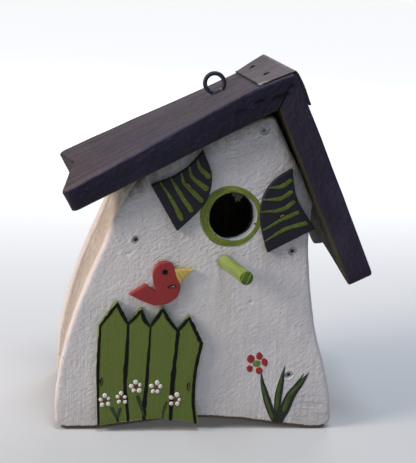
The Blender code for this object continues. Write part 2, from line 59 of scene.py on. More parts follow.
# Sizes repeated from the CAD source, in millimetres
FRONT_Y, BACK_Y = -29.0, 81.0
PANEL = 12.0
INNER_FRONT_Y, INNER_BACK_Y = FRONT_Y + PANEL, BACK_Y - PANEL
GAP = 0.3
SIDE_RECESS = 3.0
FOOT_RADIUS = 9.0
ARCH_HEIGHT, ARCH_START_X, ARCH_END_X = 7.9, -86.0, 73.0
# (height, x) up the panels' left and right edges
LEFT_EDGE = [
    (9, -107.2), (24, -107.0), (43, -105), (69, -99.5), (100, -90), (134, -76.5), (158, -67.4), (180, -55.9),
]
RIGHT_EDGE = [
    (9, 87.3), (28, 84.8), (52, 78.1), (75, 70.8), (103, 65.4), (130, 61.7), (150, 61.4), (164, 61.9),
]
# The panels' edge beside the flap, going up, and then where their top falls clear of the roof
FLAP_SIDE = [(54.6, 180.0), (46.8, 194.4), (41.0, 204.6), (33.0, 220.4)]
APEX_TOP = [(31.4, 221.8), (28.2, 221.9), (22.6, 220.3), (13.5, 216.4), (2.0, 211.0)]
LEFT_INNER_LOW, LEFT_INNER_HIGH = (-71.0, 12.0), (-33.0, 190.0)
RIGHT_INNER_X = 40.0
LEFT_SIDE_TOP, RIGHT_SIDE_TOP, SIDE_BOTTOM = 176.0, 165.0, 4.0
LEFT, RIGHT = -1, 1
RIDGE = (40.6, 252.5)
SLOPE = {LEFT: radians(28.9), RIGHT: radians(64.3)}
THICKNESS = {LEFT: 17.0, RIGHT: 19.0}
ROOF_FRONT_Y, ROOF_BACK_Y = -41.0, 77.0
ROOF_LENGTH = {LEFT: 168.0, RIGHT: 150.0}
NOTCH_DEPTH = {LEFT: 10.0, RIGHT: 17.5}
EAVE_CORNER = 6.0
STRIP_WING = 24.0
STRIP_STAPLE_DOWN, STRIP_STAPLE_Y = 13.5, (-6.0, 51.0)
ENTRANCE, ENTRANCE_RADIUS = (8.1, 154.0), 16.0
PERCH, PERCH_RADIUS, PERCH_REACH = (4.4, 122.5), 4.25, 53.0
DRILL = (tan(radians(6.7)), tan(radians(5.2)))  # right and up, out of the front
PLY = 4.0
EYE_DISTANCE, EYE_Y, EYE_WIRE, EYE_RADIUS, EYE_SHANK = 48.5, 21.0, 2.8, 6.7, 22.0
PANEL_SCREWS = [(25.3, 212.6), (-56.0, 136.6), (50.3, 130.9), (54.6, 41.0), (-76.0, 50.0)]
SCREW_RADIUS, SCREW_HEAD_RADIUS, SCREW_LENGTH = 1.75, 2.9, 35.0
FLOOR_NAILS = [(-52.0, 18.0), (-20.0, 18.0)]
STAPLES = {
    "left_shutter_staple": (-23.2, 175.6, (1, 0, -0.7)),
    "right_shutter_staple": (40.6, 156.6, (1, 0, 0.5)),
    "bird_staple": (-31.0, 105.8, (1, 0, 0.25)),
    "fence_staple_left": (-76.0, 37.4, (0, 0, 1)),
    "fence_staple_right": (-16.2, 34.1, (0, 0, 1)),
}

# Sizes of what only the visual model has
SCREW_SINK, DENT_DEPTH, LIP_HEIGHT = 0.85, 2.7, 0.55
CROSS_REACH, CROSS_DEPTH = 1.6, 1.0
PERCH_EXTRA = 0.3  # on the perch's radius
EYE_STOUTER = 1.08
STRIP_BULGE, STRIP_STEPS = 0.8, 12
PAINT_FOOT = -0.25  # how far a layer of paint reaches down into what it lies on


# Materials

SURFACES = {}
WOOD, DARK_WOOD = (160, 144, 118), (112, 99, 80)


def colour(red, green, blue):
    """A linear colour from display values between 0 and 255."""
    shares = [value / 255 for value in (red, green, blue)]
    return (*(s / 12.92 if s <= 0.04045 else ((s + 0.055) / 1.055) ** 2.4 for s in shares), 1.0)


class Recipe:
    """A material whose pattern comes from the position on the piece. Colours are three display values."""

    def __init__(self, name, roughness, metallic=0.0, specular=0.35, coordinates="grain"):
        self.material = SURFACES[name] = bpy.data.materials.new(name)
        self.material.use_nodes = True
        self.tree = self.material.node_tree
        self.shader = self.tree.nodes["Principled BSDF"].inputs
        self.shader["Roughness"].default_value = roughness
        self.shader["Metallic"].default_value = metallic
        self.shader["Specular IOR Level"].default_value = specular
        if coordinates == "grain":
            self.where = self.node("Attribute", attribute_name="grain").outputs["Vector"]
        else:
            self.where = self.node("TexCoord").outputs["Object"]
        self.along, self.across, self.depth = self.node("SeparateXYZ", {0: self.where}).outputs
        self.relief = []
        self.base = None

    def node(self, kind, inputs=(), **settings):
        """A new node, with links or values for some of its inputs, by name or by number."""
        made = self.tree.nodes.new("ShaderNode" + kind)
        for key, value in settings.items():
            setattr(made, key, value)
        for key, value in dict(inputs).items():
            self.join(value, made.inputs[key])
        return made

    def join(self, value, socket):
        if isinstance(value, bpy.types.NodeSocket):
            self.tree.links.new(value, socket)
        else:
            socket.default_value = colour(*value) if socket.type == "RGBA" and len(value) == 3 else value

    def noise(self, size, detail=3, rough=0.55, turn=(0, 0, 0), shift=0, distortion=0):
        """Noise whose features have these sizes in mm along the piece, across it and in depth."""
        mapping = self.node("Mapping", vector_type="TEXTURE")
        mapping.inputs["Scale"].default_value = [s * MM for s in size]
        mapping.inputs["Rotation"].default_value = [radians(a) for a in turn]
        mapping.inputs["Location"].default_value = (shift * MM, 0, 0)
        self.join(self.where, mapping.inputs["Vector"])
        inputs = {"Vector": mapping.outputs["Vector"], "Scale": 1.0, "Detail": detail, "Roughness": rough}
        return self.node("TexNoise", inputs | {"Distortion": distortion}).outputs["Fac"]

    def attribute(self, name):
        return self.node("Attribute", attribute_name=name).outputs["Fac"]

    def plane(self, a, b, c):
        """a times the distance along the piece, plus b times that across it, plus c."""
        node = self.node("VectorMath", {0: self.where, 1: (a, b, 0)}, operation="DOT_PRODUCT")
        return self.plus(node.outputs["Value"], c)

    def ramp(self, value, low, high, start=0.0, end=1.0):
        """start below low, end above high, and smooth between them."""
        inputs = enumerate((value, low, high, start, end))
        return self.node("MapRange", inputs, interpolation_type="SMOOTHSTEP").outputs["Result"]

    def maths(self, operation, a, b):
        return self.node("Math", {0: a, 1: b}, operation=operation).outputs[0]

    def plus(self, a, b):
        return self.maths("ADD", a, b)

    def times(self, *values):
        return reduce(lambda a, b: self.maths("MULTIPLY", a, b), values)

    def mix(self, factor, a, b):
        return self.node("Mix", {0: factor, 6: a, 7: b}, data_type="RGBA").outputs[2]

    def coat(self, factor, top):
        """Lays a colour over the base, as far as factor says."""
        self.base = self.mix(factor, self.base, top)

    def raise_by(self, *pairs):
        """Adds each value, times its height in millimetres, to the surface's relief."""
        self.relief += [self.times(value, height) for value, height in pairs]

    def done(self, roughness=None):
        self.join(self.base, self.shader["Base Color"])
        if roughness is not None:
            self.join(roughness, self.shader["Roughness"])
        if self.relief:
            height = reduce(self.plus, self.relief)
            bump = self.node("Bump", {"Strength": 1.0, "Distance": MM, "Height": height})
            self.join(bump.outputs["Normal"], self.shader["Normal"])


def below_roof(r, side):
    """How far a point of a panel is from the underside of a roof board, in metres."""
    slope = SLOPE[side]
    x, z = roof_point(side, 0, -THICKNESS[side] - GAP)
    across = side * sin(slope)
    return r.plane(-cos(slope), -across, (z * cos(slope) + across * x) * MM)


def panel_material():
    """White panels: matt paint dabbed over sawn wood, bare on the underside and in the entrance, where the
    bare wood is painted near black as painted shade.
    """
    r = Recipe("white_panel_paint", 0.6)
    fibres = r.noise((38, 1.3, 3), 5, 0.6)
    strokes = r.noise((13, 1.8, 5), 4, 0.6, (0, 0, 62), distortion=0.8)
    stipple = r.noise((3.6, 2.2, 3), 3, 0.55, (0, 0, 55), 3)
    low, high = r.ramp(r.along, 0.02, 0.15, 1.0, 0.0), r.ramp(r.along, 0.11, 0.16)
    r.raise_by(
        (fibres, r.plus(r.times(low, 0.3), 0.08)), (r.noise((120, 7, 9), 2, shift=31), 0.35),
        (strokes, r.plus(r.times(high, 0.4), 0.18)), (stipple, r.plus(r.times(high, 0.7), 0.62)),
        (r.noise((8, 6, 6), 2, shift=66), 0.5), (r.noise((1.3, 1.1, 1.1), 2, shift=21), 0.12),
    )
    r.base = r.mix(r.ramp(r.noise((42, 30, 30), shift=7), 0.35, 0.65), (194, 190, 194), (204, 200, 200))
    r.coat(r.ramp(fibres, 0.5, 0.72, 0.0, 0.22), (160, 150, 160))
    r.coat(r.ramp(stipple, 0.52, 0.7, 0.0, 0.35), (216, 210, 208))

    # Painted shade under the eaves, partly grime, most of it in the upper left corner
    reaches = ((LEFT, 0.015), (RIGHT, 0.009))
    eave_shade_and_grime = [r.ramp(below_roof(r, side), 0.0005, reach, 1.0, 0.0) for side, reach in reaches]
    streaks = r.ramp(r.noise((12, 5, 4), 5, 0.7, (0, 0, -14), 48), 0.34, 0.62, 0.5, 1.0)
    r.coat(r.times(r.maths("MAXIMUM", *eave_shade_and_grime), streaks, 0.8), (96, 92, 84))
    # Deeper painted shade in the upper left corner, below the fixed board
    leftmost = r.ramp(r.across, -0.058, -0.036, 1.0, 0.0)
    highest = r.ramp(below_roof(r, LEFT), 0.003, 0.017, 1.0, 0.0)
    r.coat(r.times(leftmost, highest, streaks, 0.9), (62, 58, 50))

    # Pale rims, chips at the edges, bare wood below, and painted shade in the entrance: grey-blue on its
    # walls, near black deeper in
    r.coat(r.ramp(r.attribute("rim"), 0.4, 0.9, 0.0, 0.8), (220, 206, 198))
    rub = r.noise((5, 2.2, 2.2), 4, 0.7, shift=53)
    chips = r.ramp(r.plus(rub, r.times(r.attribute("edge"), 0.2)), 0.84, 0.88)
    r.coat(chips, r.mix(fibres, DARK_WOOD, WOOD))
    hollow = r.attribute("hollow")
    # Painted shade on the entrance's walls: the white there is greyed and tinted blue
    r.coat(r.times(hollow, 0.85), (146, 154, 164))
    ragged = r.noise((2.6, 2.2, 2.5), 4, 0.75, shift=12)
    under = r.ramp(r.plus(r.attribute("under"), r.times(ragged, -0.5)), 0.5, 0.62)
    inside = r.ramp(r.plus(r.depth, r.times(ragged, 0.006)), 0.0072, 0.0078, 1.0, 0.0)
    grime = r.noise((9, 9, 9), 4, shift=90)
    r.coat(r.times(r.ramp(r.along, 0.001, 0.03, 0.3, 0.0), grime), (132, 112, 96))
    # Near black deep in the entrance: painted shade over its bare wood
    bare_wood_and_hole_shade = r.mix(hollow, r.mix(grime, (66, 54, 46), (96, 80, 66)), (20, 17, 15))
    r.coat(r.maths("MAXIMUM", under, r.times(inside, hollow)), bare_wood_and_hole_shade)

    # Crazing at the lower right, and bare wood on the faces inside the house
    patch = r.times(r.ramp(r.across, 0.035, 0.055), r.ramp(r.along, 0.02, 0.034, 1.0, 0.0))
    crack = r.times(r.ramp(r.noise((1.7, 30, 6), 5, 0.7, shift=77), 0.56, 0.62), patch)
    r.raise_by((chips, -0.15), (crack, -0.12))
    r.coat(r.times(crack, 0.22), (110, 102, 98))
    unseen = r.times(r.attribute("inner"), r.ramp(r.depth, 0.0006, 0.0012, 1.0, 0.0))
    r.coat(r.ramp(unseen, 0.3, 0.5), r.mix(r.ramp(fibres, 0.35, 0.7), WOOD, DARK_WOOD))
    r.done(r.ramp(strokes, 0.3, 0.7, 0.52, 0.7))


def side_material():
    """The side walls: rougher white over the bandsaw's marks, which run across them."""
    r = Recipe("white_side_paint", 0.75)
    # These whites are tinted warm: painted light, the tint of the warm lamp from the left
    dark = (170, 154, 142)
    saw = r.noise((1.5, 60, 60), 3, 0.6)
    fine = r.noise((1.0, 1.2, 1.2))
    fibres = r.noise((34, 2.0, 2.0), 4, shift=44)
    lumps = r.noise((3.2, 4.5, 4.5), shift=35)
    dabs = r.noise((2.6, 3.4, 3.4), 3, 0.6, shift=81)
    coarse = r.noise((5, 22, 22), shift=14)
    r.raise_by((saw, 0.9), (coarse, 1.6), (lumps, 1.6), (dabs, 1.3), (fine, 0.3), (fibres, 0.5))
    r.base = r.mix(r.ramp(r.noise((40, 40, 40)), 0.35, 0.65), dark, (196, 182, 169))
    r.coat(r.ramp(saw, 0.5, 0.75, 0.0, 0.35), dark)
    r.coat(r.ramp(dabs, 0.5, 0.66, 0.0, 0.55), (160, 144, 133))
    r.coat(r.ramp(lumps, 0.56, 0.7, 0.0, 0.4), (224, 208, 196))
    rub = r.noise((4, 3, 3), 4, 0.7, shift=60)
    unseen = r.ramp(r.plus(r.attribute("inner"), r.times(rub, 0.3)), 0.7, 0.8)
    r.coat(r.maths("MAXIMUM", r.ramp(rub, 0.74, 0.78), unseen), r.mix(fibres, DARK_WOOD, WOOD))
    r.done(r.ramp(fine, 0.3, 0.7, 0.68, 0.85))


def roof_material(name, thickness, edge, top_with_sheen, streak, blue, brown, arris):
    """Dark violet stain, painted lighter and greyer on top as a painted sheen, where the grain stands up.
    Sawn ends are darker.
    """
    r = Recipe(name, 0.7, specular=0.12)
    fibres = r.noise((60, 2.4, 3), 6, 0.65, distortion=0.15)
    bands = r.noise((150, 8, 10), 4, 0.6, shift=23, distortion=0.4)
    cloud = r.noise((70, 34, 34), shift=5)
    dents = r.noise((5, 3, 3), shift=11)
    fine = r.noise((2.0, 1.6, 1.6))
    top = r.ramp(r.depth, -0.0006, -0.0001)
    hairs = r.noise((20, 1.7, 2), 5, 0.7, shift=71)
    crack = r.times(r.ramp(hairs, 0.6, 0.65), r.ramp(cloud, 0.4, 0.6))
    r.raise_by(
        (fibres, r.plus(r.times(top, 0.9), 0.25)), (bands, 0.9), (dents, 1.0), (fine, 0.4),
        (r.times(crack, top), -0.4),
    )

    # The top, painted lighter and greyer than the faces: a painted sheen
    r.base = r.mix(r.ramp(bands, 0.38, 0.6), top_with_sheen, streak)
    blotch = r.noise((11, 5, 5), 4, 0.7, shift=37)
    r.coat(r.ramp(blotch, 0.46, 0.62, 0.0, 0.6), (60, 52, 57))
    r.coat(r.ramp(fibres, 0.54, 0.68, 0.0, 0.4), (40, 35, 44))
    r.coat(r.ramp(cloud, 0.48, 0.66, 0.0, 0.4), blue)
    r.coat(r.times(r.ramp(r.along, 0.12, 0.172, 0.0, 0.6), r.ramp(bands, 0.4, 0.65)), brown)
    specks = r.noise((2.8, 1.0, 1.2), 4, 0.7, shift=91)
    r.coat(r.ramp(specks, 0.53, 0.66, 0.0, 0.6), (42, 36, 44))
    r.coat(r.times(crack, 0.85), (22, 18, 26))
    r.coat(r.ramp(fine, 0.58, 0.68, 0.0, 0.3), (116, 106, 108))

    # The edges and the underside
    stained = r.mix(r.ramp(cloud, 0.4, 0.65), edge, [c * 1.45 for c in colour(*edge)[:3]] + [1.0])
    stained = r.mix(r.ramp(dents, 0.62, 0.72, 0.0, 0.35), stained, (62, 58, 82))
    r.base = r.mix(top, stained, r.base)
    # The underside's dark olive is lifted a little: painted light, as the lamps barely reach under the boards
    under = r.ramp(r.depth, (0.6 - thickness) * MM, (1.8 - thickness) * MM, 1.0, 0.0)
    r.coat(under, r.mix(r.ramp(cloud, 0.4, 0.6), (46, 43, 33), (62, 57, 44)))
    rub = r.noise((7, 2.4, 2.4), 4, 0.7, shift=40)
    worn = r.ramp(r.plus(rub, r.attribute("edge")), 1.15, 1.6, 0.0, 0.7)
    high = r.ramp(r.depth, -0.5 * thickness * MM, -0.3 * thickness * MM)
    # A painted highlight, bluish, along the upper arris; the lower arris below shows real wear
    r.coat(r.times(worn, high), (76, 73, 110))
    low = r.times(r.maths("SUBTRACT", 1.0, high), r.ramp(r.along, 0.021, 0.026))
    r.coat(r.times(worn, low), arris)
    sawn = r.mix(r.ramp(dents, 0.4, 0.65), (38, 31, 34), (66, 52, 53))
    r.coat(r.times(r.attribute("end"), r.ramp(r.along, 0.05, 0.06)), sawn)
    r.done(r.ramp(fibres, 0.35, 0.7, 0.6, 0.8))


def paint(
    name, light, dark, strokes=(14, 0.9, 3), roughness=0.5, height=0.22, specular=0.35, turn=0, peel=0.0,
    rim=None,
):
    """Craft paint brushed on a smooth shape; its rim may carry a lighter colour, a painted highlight."""
    r = Recipe(name, roughness, specular=specular)
    brush = r.noise(strokes, 4, 0.6, (0, 0, turn), distortion=0.3)
    fine = r.noise((0.9, 0.8, 0.8))
    r.raise_by((brush, height), (fine, 0.07), (r.noise((1.7, 1.5, 1.5), 2, shift=50), peel))
    r.base = r.mix(r.ramp(brush, 0.35, 0.68), dark, light)
    r.coat(r.ramp(r.noise((18, 12, 12), shift=9), 0.4, 0.7, 0.0, 0.35), dark)
    # A painted highlight: a lighter colour along the rounded rim
    if rim:
        ragged = r.times(r.noise((3, 2, 2), shift=33), 0.3)
        r.coat(r.ramp(r.plus(r.attribute("edge"), ragged), 0.6, 0.85), rim)
    r.done(r.ramp(brush, 0.3, 0.7, roughness - 0.06, roughness + 0.08))


def painted_end():
    """The sawn end of the perch, where the grain shows through thin paint."""
    r = Recipe("perch_end_paint", 0.6, specular=0.2, coordinates="object")
    fibres = r.noise((1.1, 14, 12), turn=(0, 25, 0))
    r.raise_by((fibres, 0.35))
    r.base = r.mix(r.ramp(fibres, 0.43, 0.58), (62, 80, 30), (112, 130, 54))
    r.done()


def bare_wood():
    r = Recipe("sawn_softwood", 0.8, coordinates="object")
    fibres = r.noise((3, 60, 1.6), 5)
    r.raise_by((fibres, 0.3), (r.noise((1, 1.5, 1)), 0.15))
    r.base = r.mix(r.ramp(fibres, 0.35, 0.7), WOOD, DARK_WOOD)
    r.coat(r.ramp(r.noise((9, 140, 6), 2, shift=17), 0.45, 0.62, 0.0, 0.5), (190, 150, 104))
    r.done()


def rubber():
    r = Recipe("weathered_rubber", 0.62, specular=0.5)
    cloud = r.noise((24, 18, 18), 4)
    scuff = r.noise((3, 9, 3), 5, 0.7, shift=27)
    r.raise_by((r.noise((0.6, 0.6, 0.6), 2), 0.12), (cloud, 0.4))
    r.base = r.mix(r.ramp(cloud, 0.35, 0.65), (67, 57, 61), (83, 73, 76))
    r.coat(r.ramp(scuff, 0.66, 0.78, 0.0, 0.6), (150, 146, 152))
    r.coat(r.ramp(r.attribute("edge"), 0.4, 0.8), (13, 13, 15))
    flecks = r.noise((2.0, 1.1, 1.0), 3, 0.7, shift=63)
    r.coat(r.times(r.attribute("scuff"), r.ramp(flecks, 0.45, 0.52)), (196, 190, 186))
    r.done(r.ramp(scuff, 0.4, 0.7, 0.55, 0.75))


def painted_screw(name, pit):
    """A screw or nail head under the panel's paint, some with paint down in its cross; the darker colour
    there is painted shade.
    """
    r = Recipe(name, 0.6)
    lumps = r.noise((1.6, 1.6, 1.6))
    r.raise_by((lumps, 0.35))
    r.base = r.mix(r.ramp(lumps, 0.4, 0.65), (150, 152, 158), (190, 188, 190))
    # Painted shade down in the cross recess
    r.coat(r.attribute("deep"), pit)
    r.done()


def metal(name, bright, cover, covered, size=2.0, coordinates="grain"):
    """Wire or a fastener, with paint, plating or dirt over a share of it."""
    r = Recipe(name, 0.35, metallic=1.0, coordinates=coordinates)
    patch = r.noise((size, size, size), 4, 0.7)
    mask = r.ramp(patch, 0.35 + covered * 0.35, 0.39 + covered * 0.35)
    r.raise_by((r.noise((0.5, 0.5, 0.5), 2), 0.04), (mask, -0.08))
    r.join(mask, r.shader["Metallic"])
    r.base = r.mix(mask, cover, bright)
    r.done(r.ramp(mask, 0.0, 1.0, 0.6, 0.35))


def make_surfaces():
    panel_material()
    side_material()
    roof_material(
        "roof_stain_left", THICKNESS[LEFT], edge=(28, 27, 41), top_with_sheen=(66, 58, 64), streak=(84, 75, 80),
        blue=(62, 58, 78), brown=(90, 76, 70), arris=(24, 22, 28),
    )
    roof_material(
        "roof_stain_right", THICKNESS[RIGHT], edge=(43, 38, 52), top_with_sheen=(52, 47, 57), streak=(70, 63, 71),
        blue=(57, 55, 80), brown=(74, 62, 58), arris=(76, 62, 58),
    )
    # Lighter rims on the fence and the bird are painted highlights where their edges catch the light
    rim = (128, 150, 54)
    paint("fence_green_paint", (93, 108, 41), (86, 101, 38), (60, 1.4, 3), 0.55, 0.1, peel=0.35, rim=rim)
    paint("navy_craft_paint", (31, 29, 41), (24, 22, 31), (9, 1.4, 3), 0.5, 0.08, 0.22, peel=0.2)
    paint("bird_red_paint", (140, 40, 41), (131, 36, 38), (7, 1.4, 3), 0.5, 0.06, peel=0.3, rim=(152, 42, 40))
    paint("stripe_green_paint", (95, 112, 42), (66, 80, 32), (5, 0.8, 3), specular=0.2, turn=40)
    paint("ring_green_paint", (128, 141, 52), (88, 102, 34), (11, 1.3, 3), 0.4, 0.4)
    paint("perch_green_paint", (142, 152, 84), (112, 130, 56), (30, 2.4, 3), 0.42)
    paint("outline_paint", (19, 20, 16), (12, 13, 11), (6, 0.8, 3), 0.5, 0.12, 0.12)
    paint("stem_green_paint", (44, 60, 32), (32, 46, 24), (4, 0.8, 3))
    paint("beak_paint", (198, 180, 100), (166, 138, 68), (6, 1.2, 3), turn=-50)
    paint("daisy_paint", (222, 218, 213), (204, 199, 194), (2, 1, 1), 0.5, 0.1, 0.2)
    paint("daisy_centre_paint", (120, 32, 40), (92, 22, 30), roughness=0.35)
    paint("flower_red_paint", (164, 40, 36), (126, 24, 26), (3, 0.9, 2), 0.4)
    paint("leaf_dark_paint", (28, 38, 26), (19, 27, 19), (8, 0.8, 3))
    paint("leaf_light_paint", (76, 96, 38), (44, 64, 26), (9, 0.9, 3))
    paint("flower_centre_paint", (116, 134, 50), (90, 108, 38), (2, 1, 2))
    paint("torn_wood", (104, 100, 84), (70, 66, 54), (5, 0.7, 2), 0.8)
    paint("bare_gouge", (58, 42, 30), (26, 20, 16), (3, 0.7, 1), specular=0.1)
    paint("strip_slot", (16, 15, 17), (9, 9, 10), (2, 0.7, 1), specular=0.1)
    painted_end()
    bare_wood()
    rubber()
    metal("copper_wire", (188, 150, 120), (70, 60, 52), 0.35, 1.6)
    metal("painted_eye", (206, 176, 148), (38, 37, 56), 0.78, 4.0)
    metal("bare_screw", (190, 190, 188), (120, 112, 100), 0.2, coordinates="object")
    painted_screw("painted_screw_head", (62, 58, 55))
    painted_screw("filled_screw_head", (132, 130, 130))


# Outlines, as lists of (u, v)

def drift(x, y, z):
    """Smooth noise between about -1 and 1 at a place."""
    return noise.noise(Vector((x, y, z)))


def spline(points, steps=4):
    """Points along a smooth curve through the given ones, the last one included."""
    ends = [points[0], *points, points[-1]]
    curve = []
    for a, b, c, d in zip(ends, ends[1:], ends[2:], ends[3:]):
        for step in range(steps):
            t = step / steps
            weights = (-t + 2 * t**2 - t**3, 2 - 5 * t**2 + 3 * t**3, t + 4 * t**2 - 3 * t**3, t**3 - t**2)
            curve.append(tuple(sum(w * p[k] for w, p in zip(weights, (a, b, c, d))) / 2 for k in (0, 1)))
    return [*curve, tuple(points[-1])]


def arc(centre, radius, start, end, steps):
    angles = [radians(start + (end - start) * step / steps) for step in range(steps + 1)]
    return [(centre[0] + radius * cos(a), centre[1] + radius * sin(a)) for a in angles]


def edge_x(edge, height):
    curve = spline(edge, 12)
    for (z0, x0), (z1, x1) in zip(curve, curve[1:]):
        if z0 <= height <= z1:
            return x0 + (x1 - x0) * (height - z0) / (z1 - z0)
    return curve[0][1] if height < curve[0][0] else curve[-1][1]


def roof_point(side, down, out):
    """(x, z) of a point on a roof board: how far down it from the ridge, and out of its top."""
    slope = SLOPE[side]
    x = RIDGE[0] + side * (down * cos(slope) + out * sin(slope))
    return x, RIDGE[1] - down * sin(slope) + out * cos(slope)


def under_roof(side, x):
    start_x, start_z = roof_point(side, 0, -THICKNESS[side] - GAP)
    return start_z - side * (x - start_x) * tan(SLOPE[side])


def panel_outline():
    steps = 22
    arch = []
    for share in [step / steps for step in range(1, steps)]:
        x = ARCH_START_X + (ARCH_END_X - ARCH_START_X) * share
        arch.append((x, ARCH_HEIGHT * sin(pi * share) ** 1.4))
    left_foot = arc((LEFT_EDGE[0][1] + FOOT_RADIUS, FOOT_RADIUS), FOOT_RADIUS, 180, 270, 8)
    right_foot = arc((RIGHT_EDGE[0][1] - FOOT_RADIUS, FOOT_RADIUS), FOOT_RADIUS, 270, 360, 8)
    right, left = [[(x, z) for z, x in spline(edge, 6)[1:-1]] for edge in (RIGHT_EDGE, LEFT_EDGE)]
    right_x, left_x = RIGHT_EDGE[-1][1], LEFT_EDGE[-1][1]
    top = [(right_x, under_roof(RIGHT, right_x)), *FLAP_SIDE, *APEX_TOP]
    top += [(x, under_roof(LEFT, x)) for x in (-2.0, left_x)]
    return [*left_foot, *arch, *right_foot, *right, *top, *reversed(left)]


def side_outline(edge, side, top):
    heights = [SIDE_BOTTOM + (top - SIDE_BOTTOM) * step / 40 for step in range(41)]
    return [(edge_x(edge, z) - side * SIDE_RECESS, z) for z in heights]


def circle(centre, radius, count, stretch=1.0, turn=0.0, rough=0.0, seed=0.0):
    """A closed loop, anticlockwise, that may be oval and uneven."""
    points = []
    for a in [2 * pi * i / count for i in range(count)]:
        r = radius * (1 + rough * drift(cos(a) * 1.7 + seed, sin(a) * 1.7, seed * 0.37))
        x, z = r * cos(a), r * stretch * sin(a)
        points.append((centre[0] + x * cos(turn) - z * sin(turn), centre[1] + x * sin(turn) + z * cos(turn)))
    return points


def stroke(points, widths, rough, seed):
    """The outline of a brush stroke along points, with a width at each."""
    line = spline(points, 5)
    halves = [max(w, 0.12) / 2 for _, w in spline(list(enumerate(widths)), 5)]
    left, right = [], []
    for (x, z), before, after, half in zip(line, [line[0], *line], [*line[1:], line[-1]], halves):
        dx, dz = after[0] - before[0], after[1] - before[1]
        length = hypot(dx, dz) or 1.0
        nx, nz = -dz / length, dx / length
        a = half * (1 + 2 * rough * drift(x * 0.7 + seed, z * 0.7, 1.0))
        b = half * (1 + 2 * rough * drift(x * 0.7, z * 0.7 + seed, 9.0))
        left.append((x + nx * a, z + nz * a))
        right.append((x - nx * b, z - nz * b))

    def cap(at, towards, half):
        dx, dz = at[0] - towards[0], at[1] - towards[1]
        length = hypot(dx, dz) or 1.0
        base = degrees(atan2(dz, dx))
        if half > 0.3:
            return arc(at, half, base - 60, base + 60, 4)
        return [(at[0] + dx / length * half, at[1] + dz / length * half)]

    return [*right, *cap(line[-1], line[-2], halves[-1]), *reversed(left), *cap(line[0], line[1], halves[0])]


# Meshes

def area_of(loop):
    x, z = np.array(loop).T
    return float((x * np.roll(z, -1) - np.roll(x, -1) * z).sum() / 2)


def between(start, end, step):
    """Points evenly from start up to, but not at, end, about a step apart."""
    parts = max(1, round(hypot(end[0] - start[0], end[1] - start[1]) / step))
    return [tuple(a + (b - a) * k / parts for a, b in zip(start, end)) for k in range(parts)]


def resampled(outline, step):
    pairs = zip(outline, [*outline[1:], outline[0]])
    return [p for a, b in pairs if hypot(b[0] - a[0], b[1] - a[1]) >= 1e-6 for p in between(a, b, step)]


def into_material(points):
    """At each point of a loop with the material on its left, the way into the material, mitred."""
    def unit(d):
        return d / np.maximum(np.linalg.norm(d, axis=1, keepdims=True), 1e-9)
    before = unit(points - np.roll(points, 1, axis=0))
    after = unit(np.roll(points, -1, axis=0) - points)
    normal_before, normal_after = [np.stack([-d[:, 1], d[:, 0]], 1) for d in (before, after)]
    way = unit(normal_before + normal_after)
    return way / np.clip((way * normal_before).sum(1), 0.45, 1.0)[:, None]


def inside(points, loop):
    x, z = points[:, 0][:, None], points[:, 1][:, None]
    (x0, z0), (x1, z1) = loop.T[:, None], np.roll(loop, -1, axis=0).T[:, None]
    crosses = (z0 > z) != (z1 > z)
    with np.errstate(divide="ignore", invalid="ignore"):
        at = x0 + (z - z0) * (x1 - x0) / (z1 - z0)
    return (np.where(crosses, at > x, False).sum(1) % 2).astype(bool)


def distance_to(points, loop):
    a, b = loop[None], np.roll(loop, -1, axis=0)[None]
    p = points[:, None]
    d = b - a
    t = np.clip(((p - a) * d).sum(2) / np.maximum((d * d).sum(2), 1e-12), 0, 1)
    return np.linalg.norm(p - a - t[..., None] * d, axis=2).min(1)


def clear_of(points, loops, rim_gap, hole_gap):
    """Which points lie inside the first loop and outside the others, and this far from each."""
    keep = inside(points, loops[0]) & (distance_to(points, loops[0]) > rim_gap)
    for hole in loops[1:]:
        keep &= ~inside(points, hole) & (distance_to(points, hole) > hole_gap)
    return keep


def filled(loops, extra):
    """Triangles between the first loop and the others, as indices into all the points in turn."""
    points = np.concatenate([*loops, extra])
    edges, start = [], 0
    for loop in loops:
        edges += [(start + i, start + (i + 1) % len(loop)) for i in range(len(loop))]
        start += len(loop)
    _, _, faces, origin, _, _ = delaunay_2d_cdt([Vector(p) for p in points], edges, [], 0, 1e-6)
    first = [o[0] if o else -1 for o in origin]
    triangles = np.array([[first[i] for i in face] for face in faces], int)
    triangles = triangles[(triangles >= 0).all(1)]
    centres = points[triangles].mean(1)
    keep = inside(centres, loops[0])
    for hole in loops[1:]:
        keep &= ~inside(centres, hole)
    return triangles[keep]


def grid_points(loops, spacing):
    """Points spread evenly inside the first loop and outside the others, clear of all of them."""
    low, high = loops[0].min(0), loops[0].max(0)
    rows = []
    for j, z in enumerate(np.arange(low[1], high[1], spacing * 0.87)):
        x = np.arange(low[0] + (j % 2) * spacing / 2, high[0], spacing)
        rows.append(np.stack([x, np.full_like(x, z)], 1))
    points = np.concatenate(rows)
    points = points + np.random.default_rng(0).uniform(-0.12, 0.12, points.shape) * spacing
    return points[clear_of(points, loops, 0.6 * spacing, 0.5 * spacing)]


